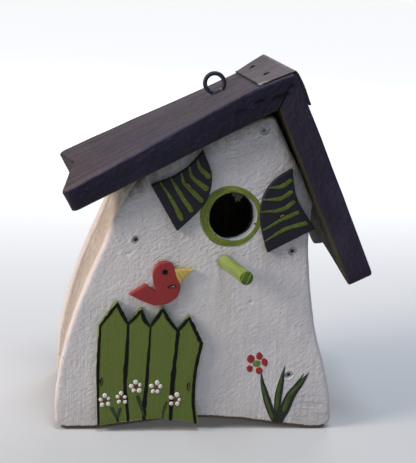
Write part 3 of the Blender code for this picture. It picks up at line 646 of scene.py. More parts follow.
def finish_mesh(name, points, faces, surfaces, attributes, body="house", slot=None, replaces=(), angle=38):
    """A closed mesh from points in millimetres, riding on a body. Surfaces are materials' names."""
    mesh = bpy.data.meshes.new(name)
    mesh.from_pydata((np.array(points, float) * MM).tolist(), [], [[int(i) for i in face] for face in faces])
    bm = bmesh.new()
    bm.from_mesh(mesh)
    bmesh.ops.recalc_face_normals(bm, faces=bm.faces)
    bm.to_mesh(mesh)
    bm.free()
    mesh.shade_smooth()
    mesh.set_sharp_from_angle(angle=radians(angle))
    for key, values in attributes.items():
        values = np.array(values, np.float32)
        kind, field = ("FLOAT_VECTOR", "vector") if values.ndim == 2 else ("FLOAT", "value")
        mesh.attributes.new(key, kind, "POINT").data.foreach_set(field, values.ravel())
    for surface in [surfaces] if isinstance(surfaces, str) else surfaces:
        mesh.materials.append(SURFACES[surface])
    obj = bpy.data.objects.new(name, mesh)
    bpy.context.scene.collection.objects.link(obj)
    if body:
        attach(obj, body)
    if replaces:
        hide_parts(*replaces)
    return obj


def use_second(obj, test):
    """Gives an object's second surface to the faces whose centre passes the test."""
    for face in obj.data.polygons:
        face.material_index = int(test(face.center))


def band(a, b, count):
    """Faces between two rings of count points, which start at a and b."""
    return [(a + i, a + (i + 1) % count, b + (i + 1) % count, b + i) for i in range(count)]


def rim_rows(w0, w1, round0, round1, steps, middle):
    """(inset, w, edge) of each row up a rim, from the w0 face to the w1 face."""
    rows, last = [(0.0, w0, 0.5)], [(0.0, w1, 0.5)]
    if round0:
        turns = [pi / 2 * (1 - k / steps) for k in range(steps + 1)]
        rows = [(round0 * (1 - cos(a)), w0 + round0 * (1 - sin(a)), sin(2 * a)) for a in turns]
    if round1:
        turns = [pi / 2 * k / steps for k in range(steps + 1)]
        last = [(round1 * (1 - cos(a)), w1 - round1 * (1 - sin(a)), sin(2 * a)) for a in turns]
    low, high = rows[-1][1], w1 - round1
    return rows + [(0.0, low + (high - low) * k / (middle + 1), 0.2) for k in range(1, middle + 1)] + last


def plate(
    name, outline, w0, w1, place, surfaces, holes=(), round0=0.0, round1=0.0, steps=4, middle=0, step=2.0,
    hole_step=1.0, hole_round=1.0, spacing=0.0, spacing0=0.0, extra=(), wobble=0.0, wobble_size=9.0, seed=0.0,
    relief=None, along="v", grain_of=None, inner_way=0, margin=None, **riding,
):
    """An outline made solid from w0 up to w1, which is the face that shows. Holes are (outline, lean).

    inner_way marks the rim that faces into the house as unseen, and margin the w0 face this far in."""
    loops = [np.array(resampled(outline if area_of(outline) > 0 else outline[::-1], step))]
    loops += [np.array(resampled(hole if area_of(hole) < 0 else hole[::-1], hole_step)) for hole, _ in holes]
    leans = [(0.0, 0.0), *(lean for _, lean in holes)]
    ways = [into_material(loop) for loop in loops]
    rows = rim_rows(w0, w1, round0, round1, steps, middle)
    points, rings = [], []
    marks = []  # at each point: edge, hollow, under, end, inner and rim
    for row, (inset, w, edge) in enumerate(rows):
        rings.append([])
        for number, (loop, way, lean) in enumerate(zip(loops, ways, leans)):
            rings[-1].append(len(points))
            for (u, v), (du, dv) in zip(loop, way):
                push = inset * (hole_round if number else 1.0)
                if wobble:
                    shift = Vector((seed, seed, seed))
                    push += wobble * noise.noise(Vector((u, v, w * 0.6)) / wobble_size + shift)
                    push += 0.4 * wobble * noise.noise(Vector((u, v, w)) * 3.1 / wobble_size)
                points.append((u + du * push + lean[0] * (w - w1), v + dv * push + lean[1] * (w - w1), w))
                marks.append((
                    max(edge, 0.0),
                    float(number > 0),
                    min(1.0, max(0.0, dv)) if inset < round1 or not number else 0.0,
                    min(1.0, max(0.0, 1.6 * abs(du if along == "u" else dv) - 0.6)) * (inset < 0.9 * round1),
                    max(du * inner_way, abs(dv)) if inner_way else float(bool(margin and number)),
                    min(1.0, 1.4 * abs(du)) * (not number and 0 < row < len(rows) - 3),
                ))
    faces = []
    for lower, upper in zip(rings, rings[1:]):
        for a, b, loop in zip(lower, upper, loops):
            faces += band(a, b, len(loop))
    for ring, w, gap in ((rings[0], w0, spacing0), (rings[-1], w1, spacing)):
        rim = [np.array([p[:2] for p in points[s : s + len(loop)]]) for s, loop in zip(ring, loops)]
        more = grid_points(rim, gap) if gap else np.zeros((0, 2))
        if w == w1 and len(extra):
            dots = np.array(extra)
            more = np.concatenate([more[distance_to(more, dots) > 0.5], dots[clear_of(dots, rim, 0.4, 0.4)]])
        index = [s + i for s, loop in zip(ring, loops) for i in range(len(loop))]
        index += range(len(points), len(points) + len(more))
        points += [(u, v, w) for u, v in more]
        deep_in = distance_to(more, rim[0]) > margin if margin and w == w0 else np.zeros(len(more))
        marks += [(0, 0, 0, 0, float(inner), 0) for inner in deep_in]
        faces += [tuple(index[i] for i in triangle) for triangle in filled(rim, more)]
    if relief:
        points = [(u, v, w + relief(u, v) * (w - w0) / (w1 - w0)) for u, v, w in points]
    grain_of = grain_of or (lambda u, v, w: (v, u, w) if along == "v" else (u, v, w))
    attributes = {"grain": np.array([grain_of(*p) for p in points]) * MM}
    attributes |= zip(("edge", "hollow", "under", "end", "inner", "rim"), np.array(marks, float).T)
    return finish_mesh(name, [place(*p) for p in points], faces, surfaces, attributes, **riding)


def skin(name, rings, surfaces, grain=None, deep=None, **riding):
    """A closed skin over rings of the same number of points, with its ends filled."""
    count = len(rings[0])
    points = np.concatenate([np.array(ring, float) for ring in rings])
    faces = [face for k in range(len(rings) - 1) for face in band(k * count, (k + 1) * count, count)]
    faces += [tuple(range(count)), tuple(range(len(points) - count, len(points)))]
    attributes = {"grain": (points if grain is None else np.array(grain)) * MM}
    if deep:
        attributes["deep"] = deep
    return finish_mesh(name, points, faces, surfaces, attributes, **riding)


def turned(radius, height, sides):
    """A ring of points round the w axis."""
    return [(radius * cos(a), radius * sin(a), height) for a in np.linspace(0, 2 * pi, sides, False)]


def tube_rings(path, radii, sides, flatten=1.0):
    """Rings along a path, each square to it, with rounded ends."""
    path = [Vector(p) for p in path]
    ahead = [(b - a).normalized() for a, b in zip([path[0], *path], [*path[1:], path[-1]])]
    rows = list(zip(path, ahead, radii))
    (first, first_way, r0), (last, last_way, r1) = rows[0], rows[-1]
    start = [(first - first_way * r0 * sin(a), first_way, r0 * cos(a)) for a in (1.5, 1.1, 0.6)]
    end = [(last + last_way * r1 * sin(a), last_way, r1 * cos(a)) for a in (0.6, 1.1, 1.5)]
    side = first_way.orthogonal().normalized()
    rings = []
    for centre, way, radius in [*start, *rows, *end]:
        side = (side - way * side.dot(way)).normalized()
        other = way.cross(side)
        turns = [2 * pi * i / sides for i in range(sides)]
        rings.append([centre + (side * cos(a) + other * sin(a) * flatten) * radius for a in turns])
    return rings


# Front and back panels

def wave(u, v, size, seed=0.0):
    return drift(u / size + seed, v / size, seed)


def screw_dimple(u, v):
    """A dent over each screw, with a ragged lip of thick paint round part of it."""
    total = 0.0
    for x, z in PANEL_SCREWS:
        r = hypot(u - x, v - z)
        if r < 7:
            uneven = wave(u - x, v - z, 2.6, x * 0.1)
            total -= DENT_DEPTH * (1 - min(max((r - 2.2 - 0.4 * uneven) / 0.9, 0), 1))
            ragged = max(0.0, 0.55 + 1.6 * wave(u, v, 5.0, 6.0))
            total += LIP_HEIGHT * ragged * exp(-((r - 3.3 - uneven) ** 2) / 0.4)
    return total


def panel_relief(u, v):
    return 0.16 * wave(u, v, 31) + 0.09 * wave(u, v, 7, 3.0) + 0.05 * wave(u * 0.8 + v * 0.3, v, 3.6, 7.0)


def ridge_along(u, v, points, height, width):
    """Relief along a line of points, fading at its ends."""
    best, share = 1e9, 0.0
    for k, ((x0, z0), (x1, z1)) in enumerate(zip(points, points[1:])):
        dx, dz = x1 - x0, z1 - z0
        t = min(1.0, max(0.0, ((u - x0) * dx + (v - z0) * dz) / (dx * dx + dz * dz)))
        d = hypot(u - x0 - t * dx, v - z0 - t * dz)
        if d < best:
            best, share = d, (k + t) / (len(points) - 1)
    return height * exp(-((best / width) ** 2)) * sin(pi * (0.06 + 0.88 * share))


CRACK = [(-64.5, 124.6), (-62.0, 126.8), (-59.8, 126.6), (-58.0, 129.0), (-56.0, 130.6)]
BRUSH_EDGE = [(-70.8, 96.0), (-69.8, 100.6), (-66.4, 103.4), (-61.8, 103.5), (-58.0, 101.0)]
PERCH_EDGE = [(14.5, 112.0), (19.5, 111.5), (22.5, 115.0), (20.5, 119.5), (15.5, 121.0)]
NICK = (24.2, 94.3)
LOW_SPLITS = [(17.3, 60, 81, 0.3), (14.6, 63, 80, 0.22)]  # height, start, end, depth
FAINT_SPLIT = (60.5, 8, 24, 0.12)


def front_relief(u, v):
    """The front's low waves, its screws' dents, a nick, edges of thick paint, and splits."""
    total = panel_relief(u, v) + screw_dimple(u, v)
    if -75 < u < -50 and 90 < v < 135:
        total += ridge_along(u, v, CRACK, -0.4, 0.55)
        total += ridge_along(u, v, [(x + 0.8, z - 0.9) for x, z in CRACK], 0.22, 0.5)
        total += ridge_along(u, v, BRUSH_EDGE, 0.26, 0.6)
    if 10 < u < 27 and 106 < v < 126:
        total += ridge_along(u, v, PERCH_EDGE, 0.22, 0.6)
    r = hypot((u - NICK[0]) / 1.2, v - NICK[1])
    total -= 0.6 * exp(-(r**2) / 1.1)
    for height, start, end, depth in [*LOW_SPLITS, FAINT_SPLIT]:
        if start < u < end:
            line = height + 1.1 * wave(u, height, 6, 5.0)
            total -= depth * sin(pi * (u - start) / (end - start)) * exp(-((v - line) ** 2) / 0.18)
    return total


def dots_round(points, radii, count):
    """Dots in rings round each point, to hold the relief there."""
    rings = [circle(centre, r, count, turn=k * 0.17) for centre in points for k, r in enumerate(radii)]
    return [p for ring in rings for p in ring]


def line_dots(points):
    """Dots in three rows along a line."""
    pairs = zip(points, points[1:])
    return [(x, z + s) for start, end in pairs for x, z in between(start, end, 0.8) for s in (-0.7, 0.0, 0.7)]


def on_front(u, v, w):
    """w out of the front panel's inner face."""
    return u, INNER_FRONT_Y - w, v


def on_back(u, v, w):
    return u, INNER_BACK_Y + w, v


def make_panels():
    outline = panel_outline()
    holes = [
        (circle(ENTRANCE, ENTRANCE_RADIUS, 110, rough=0.02, seed=3.0), DRILL),
        (circle(PERCH, PERCH_RADIUS + 0.04, 40), DRILL),
    ]
    dents = dots_round(PANEL_SCREWS, (1.6, 2.1, 2.5, 2.9, 3.3, 3.8, 4.4, 5.2), 24)
    marks = dots_round([NICK], (0.35, 0.9, 1.5, 2.3), 12)
    splits = [[(start, height), (end, height)] for height, start, end, _ in LOW_SPLITS]
    for line in [*splits, CRACK, BRUSH_EDGE, PERCH_EDGE]:
        marks += line_dots(line)
    shared = {"spacing0": 7, "round1": 2.6, "steps": 5, "wobble": 0.4, "margin": 12.0, "slot": "white_paint"}
    plate(
        "front_panel_painted", outline, 0.0, PANEL, on_front, "white_panel_paint", holes, 1.4, middle=3,
        hole_step=0.9, hole_round=0.16, spacing=1.9, extra=dents + marks, wobble_size=11, relief=front_relief,
        replaces=["front_panel"], **shared,
    )
    plate(
        "back_panel_painted", outline, 0.0, PANEL, on_back, "white_panel_paint", (), 2.8, middle=2, step=2.2,
        spacing=3.4, extra=dents, wobble_size=12, seed=4.0, replaces=["back_panel"],
        relief=lambda u, v: panel_relief(u + 300, v) + screw_dimple(u, v), **shared,
    )


def make_sides():
    def across(u, v, w):
        return u, w, v
    left = side_outline(LEFT_EDGE, LEFT, LEFT_SIDE_TOP)
    outer_x, inner_x = left[-1][0] + 1.0, LEFT_INNER_HIGH[0]
    left += [(outer_x, under_roof(LEFT, outer_x)), (inner_x, under_roof(LEFT, inner_x))]
    low, high = LEFT_INNER_LOW, LEFT_INNER_HIGH
    left.append((low[0] + (high[0] - low[0]) * (SIDE_BOTTOM - low[1]) / (high[1] - low[1]), SIDE_BOTTOM))
    right = side_outline(RIGHT_EDGE, RIGHT, RIGHT_SIDE_TOP)
    right += [(RIGHT_INNER_X, RIGHT_SIDE_TOP), (RIGHT_INNER_X, SIDE_BOTTOM)]
    for word, outline, side, seed in (("left", left, LEFT, 0.0), ("right", right, RIGHT, 9.0)):
        plate(
            f"{word}_side_painted", outline, INNER_FRONT_Y + GAP, INNER_BACK_Y - GAP, across,
            "white_side_paint", round0=0.4, round1=0.4, steps=2, middle=26, step=1.6, wobble=0.6,
            wobble_size=6, seed=seed, inner_way=side, slot="rough_white_paint", replaces=[f"{word}_side"],
        )


# Roof

def board_shape(side, down, y):
    """How far the board's top and underside stand out of their flat planes, being bowed and twisted."""
    across = (y - ROOF_FRONT_Y) / (ROOF_BACK_Y - ROOF_FRONT_Y)
    if side == LEFT:
        near = np.interp(down, (0, 27, 52, 118, 168), (-0.8, 2.0, 1.7, -1.0, -2.4))
        far = np.interp(down, (0, 22, 52, 76, 106, 168), (-0.3, -2.5, -1.6, -0.4, 1.4, 4.0))
        loose = min(max((down - 108) / 60, 0), 1)
        under = 3.2 * loose * loose * across
    else:
        near = np.interp(down, (0, 40, 90, 150), (0.0, 0.5, 0.2, -0.5))
        far = np.interp(down, (0, 40, 90, 150), (0.0, -0.2, 0.3, 0.6))
        under = 1.0
    ripple = 0.16 * wave(down, y, 19, 2.0 + side) + 0.06 * wave(down * 0.3, y, 4, 8.0)
    return near + (far - near) * across + ripple, under


def on_board(side):
    ridge_angle = pi - SLOPE[LEFT] - SLOPE[RIGHT]
    joint = (THICKNESS[side] * cos(ridge_angle) + THICKNESS[-side]) / sin(ridge_angle)

    def place(down, y, out):
        top, under = board_shape(side, down, y)
        depth = -out / THICKNESS[side]
        mitred = down + joint * depth * max(0.0, 1 - down / 60)
        x, z = roof_point(side, mitred, out + top * (1 - depth) + under * depth)
        return x, y, z
    return place


def eave_outline(side):
    length, notch = ROOF_LENGTH[side], NOTCH_DEPTH[side]
    middle = (ROOF_FRONT_Y + ROOF_BACK_Y) / 2 + (7 if side == LEFT else -5)
    corner, lean = length - EAVE_CORNER, degrees(atan2(notch, middle - ROOF_FRONT_Y))
    front = arc((corner, ROOF_FRONT_Y + EAVE_CORNER), EAVE_CORNER, -90, lean, 6)
    back = arc((corner, ROOF_BACK_Y - EAVE_CORNER), EAVE_CORNER, -lean, 90, 6)
    x = length - notch
    return [*front, *spline([(x + 2.2, middle - 9), (x + 0.2, middle), (x + 2.2, middle + 9)], 3), *back]


def make_roof():
    for word, side, body in (("left", LEFT, "house"), ("right", RIGHT, "roof_flap")):
        outline = [(GAP, ROOF_FRONT_Y), *eave_outline(side), (GAP, ROOF_BACK_Y)]
        plate(
            f"roof_{word}_stained", outline, -THICKNESS[side], 0.0, on_board(side), f"roof_stain_{word}",
            round0=1.2, round1=1.5, middle=4, step=2.4, spacing=4.2, spacing0=6, wobble=0.42, wobble_size=14,
            seed=float(side), along="u", body=body, slot="roof_stain", replaces=[f"roof_{word}"],
        )


SPLITS = [
    ([(26.4, 234.9), (30.4, 237.0), (34.0, 238.1), (37.4, 239.9)], (0.2, 0.9, 1.2, 0.3)),
    ([(15.6, 232.0), (18.6, 233.6), (21.6, 234.2)], (0.2, 0.7, 0.3)),
    ([(38.0, 243.2), (39.3, 244.6), (39.9, 245.2)], (0.4, 1.2, 0.5)),
    ([(3.0, 224.4), (6.4, 226.6), (10.2, 228.0)], (0.2, 0.6, 0.2)),
]


def make_splits():
    """Short splits in the fixed board's front, near its ridge end."""
    def on_end(u, v, w):
        return u, ROOF_FRONT_Y - w, v
    for number, (points, widths) in enumerate(SPLITS, 1):
        outline = stroke(points, widths, 0.35, number * 2.9)
        mark(f"roof_split_{number}", outline, on_end, "strip_slot", "roof_stain", 0.3, round1=0.05)


def strip_top(side, down, y, lift=1.0):
    """How far the strip's upper face stands out of a board's plane. It bulges on the flap's side."""
    bend = lift * (0.4 + STRIP_BULGE * sin(pi * min(1.0, down / STRIP_WING))) if side == RIGHT else 0.0
    return GAP + lift + board_shape(side, down, y)[0] + bend


def make_strip():
    """One length of strip over the ridge, the hinge that lets the real flap turn; here it is a fixed mesh on
    no body.
    """
    left = [(LEFT, down) for down in np.linspace(STRIP_WING, 2.0, STRIP_STEPS)]
    right = [(RIGHT, down) for down in np.linspace(2.0, STRIP_WING, STRIP_STEPS)]
    ys = np.linspace(ROOF_FRONT_Y + 2, ROOF_BACK_Y - 2, 46)

    def wing(y, lift, places):
        for side, down in places:
            curl = (0.35 + 0.3 * side) * max(0.0, (down - 19) / 5) ** 2 * (0.6 + 0.4 * wave(y, down, 18, 6.0))
            out = strip_top(side, down, y, lift) + curl
            yield roof_point(side, down + 0.5 * wave(y, 0, 20, side), out)

    def section(y, lift):
        crown = [roof_point(side, 0.0, GAP + lift + board_shape(side, 0, y)[0]) for side in (LEFT, RIGHT)]
        middle = ((crown[0][0] + crown[1][0]) / 2, (crown[0][1] + crown[1][1]) / 2)
        return [*wing(y, lift, left), crown[0], middle, crown[1], *wing(y, lift, right)]

    width, length = 2 * STRIP_STEPS + 3, len(ys)
    points, edge, scuff, grain = [], [], [], []
    for layer, lift in enumerate((1.0, 0.0)):
        for i, y in enumerate(ys):
            for k, (x, z) in enumerate(section(y, lift)):
                points.append((x, float(y), z))
                edge.append(float(i in (0, length - 1) or k in (0, width - 1)))
                worn = exp(-(((k - 0.5) / 1.8) ** 2) - (i / 1.8) ** 2)
                scuff.append(0.0 if layer else min(1.0, worn * 1.3))
                grain.append((k * 1.6, float(y), layer * 1.0))

    def at(layer, i, k):
        return layer * width * length + i * width + k

    faces = []
    for i in range(length - 1):
        for k in range(width - 1):
            for n in (0, 1):
                faces.append((at(n, i, k), at(n, i, k + 1), at(n, i + 1, k + 1), at(n, i + 1, k)))
        for k in (0, width - 1):
            faces.append((at(0, i, k), at(0, i + 1, k), at(1, i + 1, k), at(1, i, k)))
    for k in range(width - 1):
        for i in (0, length - 1):
            faces.append((at(0, i, k), at(0, i, k + 1), at(1, i, k + 1), at(1, i, k)))
    attributes = {"grain": np.array(grain) * MM, "edge": edge, "scuff": scuff}
    strip = finish_mesh(
        "ridge_strip", points, faces, "weathered_rubber", attributes, body=None, slot="strip_rubber", angle=50
    )
    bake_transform(strip)
    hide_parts("ridge_strip_left", "ridge_strip_right")


# Fasteners

def frame_at(place, outward, along):
    up = Vector(outward).normalized()
    side = Vector(along)
    side = (side - up * side.dot(up)).normalized()
    return Matrix.Translation(Vector(place)) @ Matrix((side, up.cross(side), up)).transposed().to_4x4()


def seated(seat, rings):
    return [[seat @ Vector(p) for p in ring] for ring in rings]


def make_screw(name, x, z, face_y, outward, surface, turn):
    """A countersunk cross-head screw with its thread, its head a little below the face."""
    seat = frame_at((x, face_y - outward * SCREW_SINK, z), (0, outward, 0), (1, 0, 0))
    rows = [(0.25, -SCREW_LENGTH), (1.2, -SCREW_LENGTH + 3)]
    depth = -SCREW_LENGTH + 4
    while depth < -9:
        rows += [(1.25, depth), (SCREW_RADIUS, depth + 0.55)]
        depth += 1.3
    rows += [(1.3, -8.5), (1.3, -3.0), (SCREW_HEAD_RADIUS - 0.1, -0.55), (SCREW_HEAD_RADIUS, -0.3)]
    rings = [turned(radius, height, 40) for radius, height in rows]
    for radius in (2.8, 2.6, 2.4, 2.2, 2.0, 1.8, 1.6, 1.4, 1.2, 1.0, 0.8, 0.6, 0.4, 0.25, 0.1):
        ring = []
        wide = 0.7 + 0.5 * max(0.0, 1 - radius / 1.5)
        for x0, z0, dome in turned(radius, 0.1 * (1 - (radius / SCREW_HEAD_RADIUS) ** 2), 40):
            a, b = x0 * cos(turn) - z0 * sin(turn), x0 * sin(turn) + z0 * cos(turn)
            arm = max(
                (1 - min(abs(q) / wide, 1)) * (1 - min(abs(p) / CROSS_REACH, 1))
                for p, q in ((a, b), (b, a))
            )
            dip = CROSS_DEPTH * min(1.0, 4.0 * arm)
            ring.append((x0, z0, dome - dip + 0.08 * drift(x0, z0, x)))
        rings.append(ring)
    points = [p for ring in rings for p in ring]
    deep = [min(1.0, max(0.0, -h / 0.3 - 0.1)) if hypot(u, v) < 2.2 else 0.0 for u, v, h in points]
    rings = seated(seat, rings)
    skin(name + "_painted", rings, surface, deep=deep, slot="zinc_steel", replaces=[name], angle=45)


def make_nail(name, x, z, face_y, outward):
    seat = frame_at((x, face_y, z), (0, outward, 0), (1, 0, 0))
    rows = [
        (0.2, -30), (1.1, -27.5), (1.1, -1.3), (2.1, -0.9), (2.25, -0.2), (2.1, 0.12), (1.5, 0.27),
        (0.7, 0.34), (0.1, 0.36),
    ]
    rings = seated(seat, [turned(radius, height, 24) for radius, height in rows])
    skin(name + "_painted", rings, "painted_screw_head", slot="zinc_steel", replaces=[name], angle=50)


def make_staple(name, seat, surface, crown, leg, wire, lift, **riding):
    half = crown / 2 - wire
    path = [(-half, 0, -leg), (-half, 0, -1.0 + lift)]
    for centre, start in ((-half + 0.7, 180), (half - 0.7, 90)):
        path += [(x, 0, z - wire + lift) for x, z in arc((centre, -0.7), 0.7, start, start - 90, 4)]
    path += [(half, 0, -1.0 + lift - 0.4), (half, 0, -leg)]
    rings = tube_rings([seat @ Vector(p) for p in path], [wire] * len(path), 10, 0.85)
    skin(name, rings, surface, replaces=[name], angle=50, **riding)


def make_fasteners():
    for where, face_y, outward in (("front", FRONT_Y, -1), ("back", BACK_Y, 1)):
        for number, (x, z) in enumerate(PANEL_SCREWS, 1):
            surface = "filled_screw_head" if z > 200 else "painted_screw_head"
            turn = 0.5 + 0.7 * number + (1.1 if outward > 0 else 0.0)
            make_screw(f"{where}_screw_{number}", x, z, face_y, outward, surface, turn)
        for number, (x, z) in enumerate(FLOOR_NAILS, 1):
            make_nail(f"{where}_floor_nail_{number}", x, z, face_y, outward)
    for number, (name, (x, z, along)) in enumerate(STAPLES.items()):
        seat = frame_at((x, FRONT_Y - GAP - PLY, z), (0, -1, 0), along)
        make_staple(name, seat, "copper_wire", 4.8, 9.0, 0.48, 0.45, slot="coppered_steel")
        a = atan2(along[2], along[0])
        line = [
            (x + d * cos(a) - o * sin(a), z + d * sin(a) + o * cos(a))
            for d, o in ((-3.0, 0.3), (-1, 0.1), (1.2, 0.25), (2.9, -0.2))
        ]
        gouge = stroke(line, (0.5, 1.9, 1.8, 0.4), 0.3, number * 1.9)
        mark(name + "_gouge", gouge, on_ply, "bare_gouge", "bare_wood", 0.27, round1=0.05)
    for word, side, body in (("left", LEFT, "house"), ("right", RIGHT, "roof_flap")):
        slope = SLOPE[side]
        outward, along = (side * sin(slope), 0, cos(slope)), (side * cos(slope), 0, -sin(slope))
        for number, y in enumerate(STRIP_STAPLE_Y, 1):
            name = f"strip_staple_{word}_{number}"
            x, z = roof_point(side, STRIP_STAPLE_DOWN, strip_top(side, STRIP_STAPLE_DOWN, y))
            seat = frame_at((x, y, z), outward, along)
            make_staple(name, seat, "strip_slot", 4.4, 8.0, 0.72, 0.95, body=body, slot="dark_painted_steel")
            line = [(-2.7, 0.1), (-1.0, 0.0), (1.1, 0.1), (2.6, 0.0)]
            slit = stroke(line, (0.8, 3.0, 2.8, 0.6), 0.2, number + side)
            plate(
                name + "_slit", slit, -0.3, 0.22, lambda *p, seat=seat: tuple(seat @ Vector(p)), "strip_slot",
                round1=0.06, steps=2, step=0.5, body=body, slot="strip_rubber",
            )


def make_eye():
    x, z = roof_point(LEFT, EYE_DISTANCE, 0)
    up = EYE_RADIUS + EYE_WIRE / 2
    path = [(0.0, -EYE_SHANK), (0.0, -EYE_SHANK + 4), (0.0, 0.0), (0.15, 0.6), (0.8, 1.0)]
    path += arc((-0.5, up - 0.5), EYE_RADIUS, -66, 266, 60)
    radii = []
    for k, (_, height) in enumerate(path):
        radii.append(EYE_WIRE / 2 * (EYE_STOUTER if k else 0.75) + 0.05 * drift(k * 0.31, height, 2.0))
    path = [(x + across, EYE_Y + 0.012 * k, z + height) for k, (across, height) in enumerate(path)]
    skin(
        "hanging_eye_painted", tube_rings(path, radii, 18), "painted_eye", slot="dark_painted_steel",
        replaces=["hanging_eye"], angle=60,
    )


# Cut-outs and painted decoration

def on_ply(u, v, w):
    """w out of the cut-outs' front face."""
    return u, FRONT_Y - GAP - PLY - w, v


def on_paint(u, v, w):
    """w out of the front panel's painted face."""
    return u, FRONT_Y - panel_relief(u, v) - w, v


def cut_out(cad, outline, surfaces, slot):
    name = cad + "_painted"
    return plate(
        name, outline, -PLY, 0.0, on_ply, surfaces, round0=0.25, round1=0.8, middle=1, step=1.1, spacing=3.5,
        wobble=0.14, wobble_size=3.5, seed=len(name) * 0.7, relief=lambda u, v: 0.05 * wave(u, v, 9, 4.0),
        slot=slot, replaces=[cad],
    )


def mark(name, outline, place, surface, slot, height=0.22, step=0.9, round1=None):
    """A thin layer of paint standing a little proud of what it was painted on."""
    plate(
        name, outline, PAINT_FOOT, height, place, surface, round1=round1 or height * 0.9, steps=3, step=step,
        wobble=0.05, wobble_size=2.5, seed=len(name) * 0.37, slot=slot, angle=70,
    )


def dab(name, centre, radius, surface, place, stretch, turn, height, slot, seed):
    """A blob of paint set down with the tip of a brush handle."""
    outline = circle(centre, radius, 22, stretch, turn, 0.16, seed)
    rounding = min(height * 1.6, radius * 0.8)
    plate(name, outline, -0.2, height, place, surface, round1=rounding, step=10.0, slot=slot, angle=80)


def make_shutters():
    left = [(-47.9, 174.7)]
    left += spline([
        (-29.4, 144.0), (-20.0, 153.3), (-12.6, 161.8), (-8.6, 171.5), (-8.4, 184.0), (-14.6, 198.4),
    ])
    left += spline([(-14.6, 198.4), (-23.0, 188.6), (-33.0, 181.0), (-47.9, 174.7)])[1:-1]
    right = [(32.5, 130.5), (63.9, 147.8)]
    right += spline([(63.9, 147.8), (54.0, 161.5), (48.6, 172.0), (45.4, 187.9)])[1:]
    right += spline([
        (45.4, 187.9), (34.8, 181.0), (27.6, 170.0), (26.0, 156.5), (28.0, 144.0), (32.5, 130.5),
    ])[1:-1]
    cut_out("left_shutter", left, "navy_craft_paint", "navy_paint")
    cut_out("right_shutter", right, "navy_craft_paint", "navy_paint")
    stripes = {
        "left": [
            [(-18.2, 192.3), (-16.4, 187.4), (-10.4, 181.9)],
            [(-23.4, 187.5), (-20.6, 180.4), (-11.6, 173.6)],
            [(-28.4, 183.4), (-25.6, 176.2), (-14.4, 165.6)],
            [(-35.0, 179.5), (-29.6, 171.2), (-20.8, 158.6)],
            [(-41.8, 176.6), (-34.4, 166.2), (-27.0, 152.9)],
        ],
        "right": [
            [(44.4, 180.4), (38.8, 176.4), (30.6, 175.2)],
            [(45.4, 172.6), (38.6, 168.2), (27.3, 167.0)],
            [(47.4, 165.8), (39.6, 160.4), (26.3, 158.7)],
            [(50.6, 158.7), (40.6, 153.8), (28.4, 146.2)],
            [(56.8, 151.6), (43.4, 147.4), (30.4, 138.6)],
        ],
    }
    widths = {"left": (1.0, 2.3, 3.2), "right": (2.9, 2.6, 0.9)}
    for word, lines in stripes.items():
        for number, points in enumerate(lines, 1):
            wide = [w * (1.12 if word == "left" and number < 3 else 1.0) for w in widths[word]]
            outline = stroke(points, wide, 0.22, number * 1.7)
            mark(f"{word}_shutter_stripe_{number}", outline, on_ply, "stripe_green_paint", "fence_green")


def make_bird():
    belly = spline([
        (-59.6, 99.5), (-49.5, 94.8), (-41.0, 92.1), (-33.5, 93.6), (-27.4, 98.0), (-25.2, 104.0),
        (-25.6, 108.4),
    ], 6)
    head = spline([
        (-29.4, 117.9), (-31.5, 121.2), (-35.8, 122.8), (-41.0, 121.0), (-44.0, 115.5), (-43.6, 108.5),
        (-41.6, 101.6),
    ], 6)
    outline = [*belly, (-17.3, 117.7), *head, (-48.9, 106.6)]
    bird = cut_out("bird", outline, ["bird_red_paint", "beak_paint"], "bird_red")
    use_second(bird, lambda p: p.x / MM > -29.4 + (117.9 - p.z / MM) * 0.4)
    beak = [(-26.1, 108.7), (-17.9, 117.4), (-29.6, 117.5), (-28.4, 113.4)]
    mark("bird_beak", beak, on_ply, "beak_paint", "bird_red", 0.2, 1.0)
    mark("bird_eye", circle((-36.1, 115.9), 1.9, 26, 1.0, 0, 0.05, 2.0), on_ply, "outline_paint", None, 0.35)


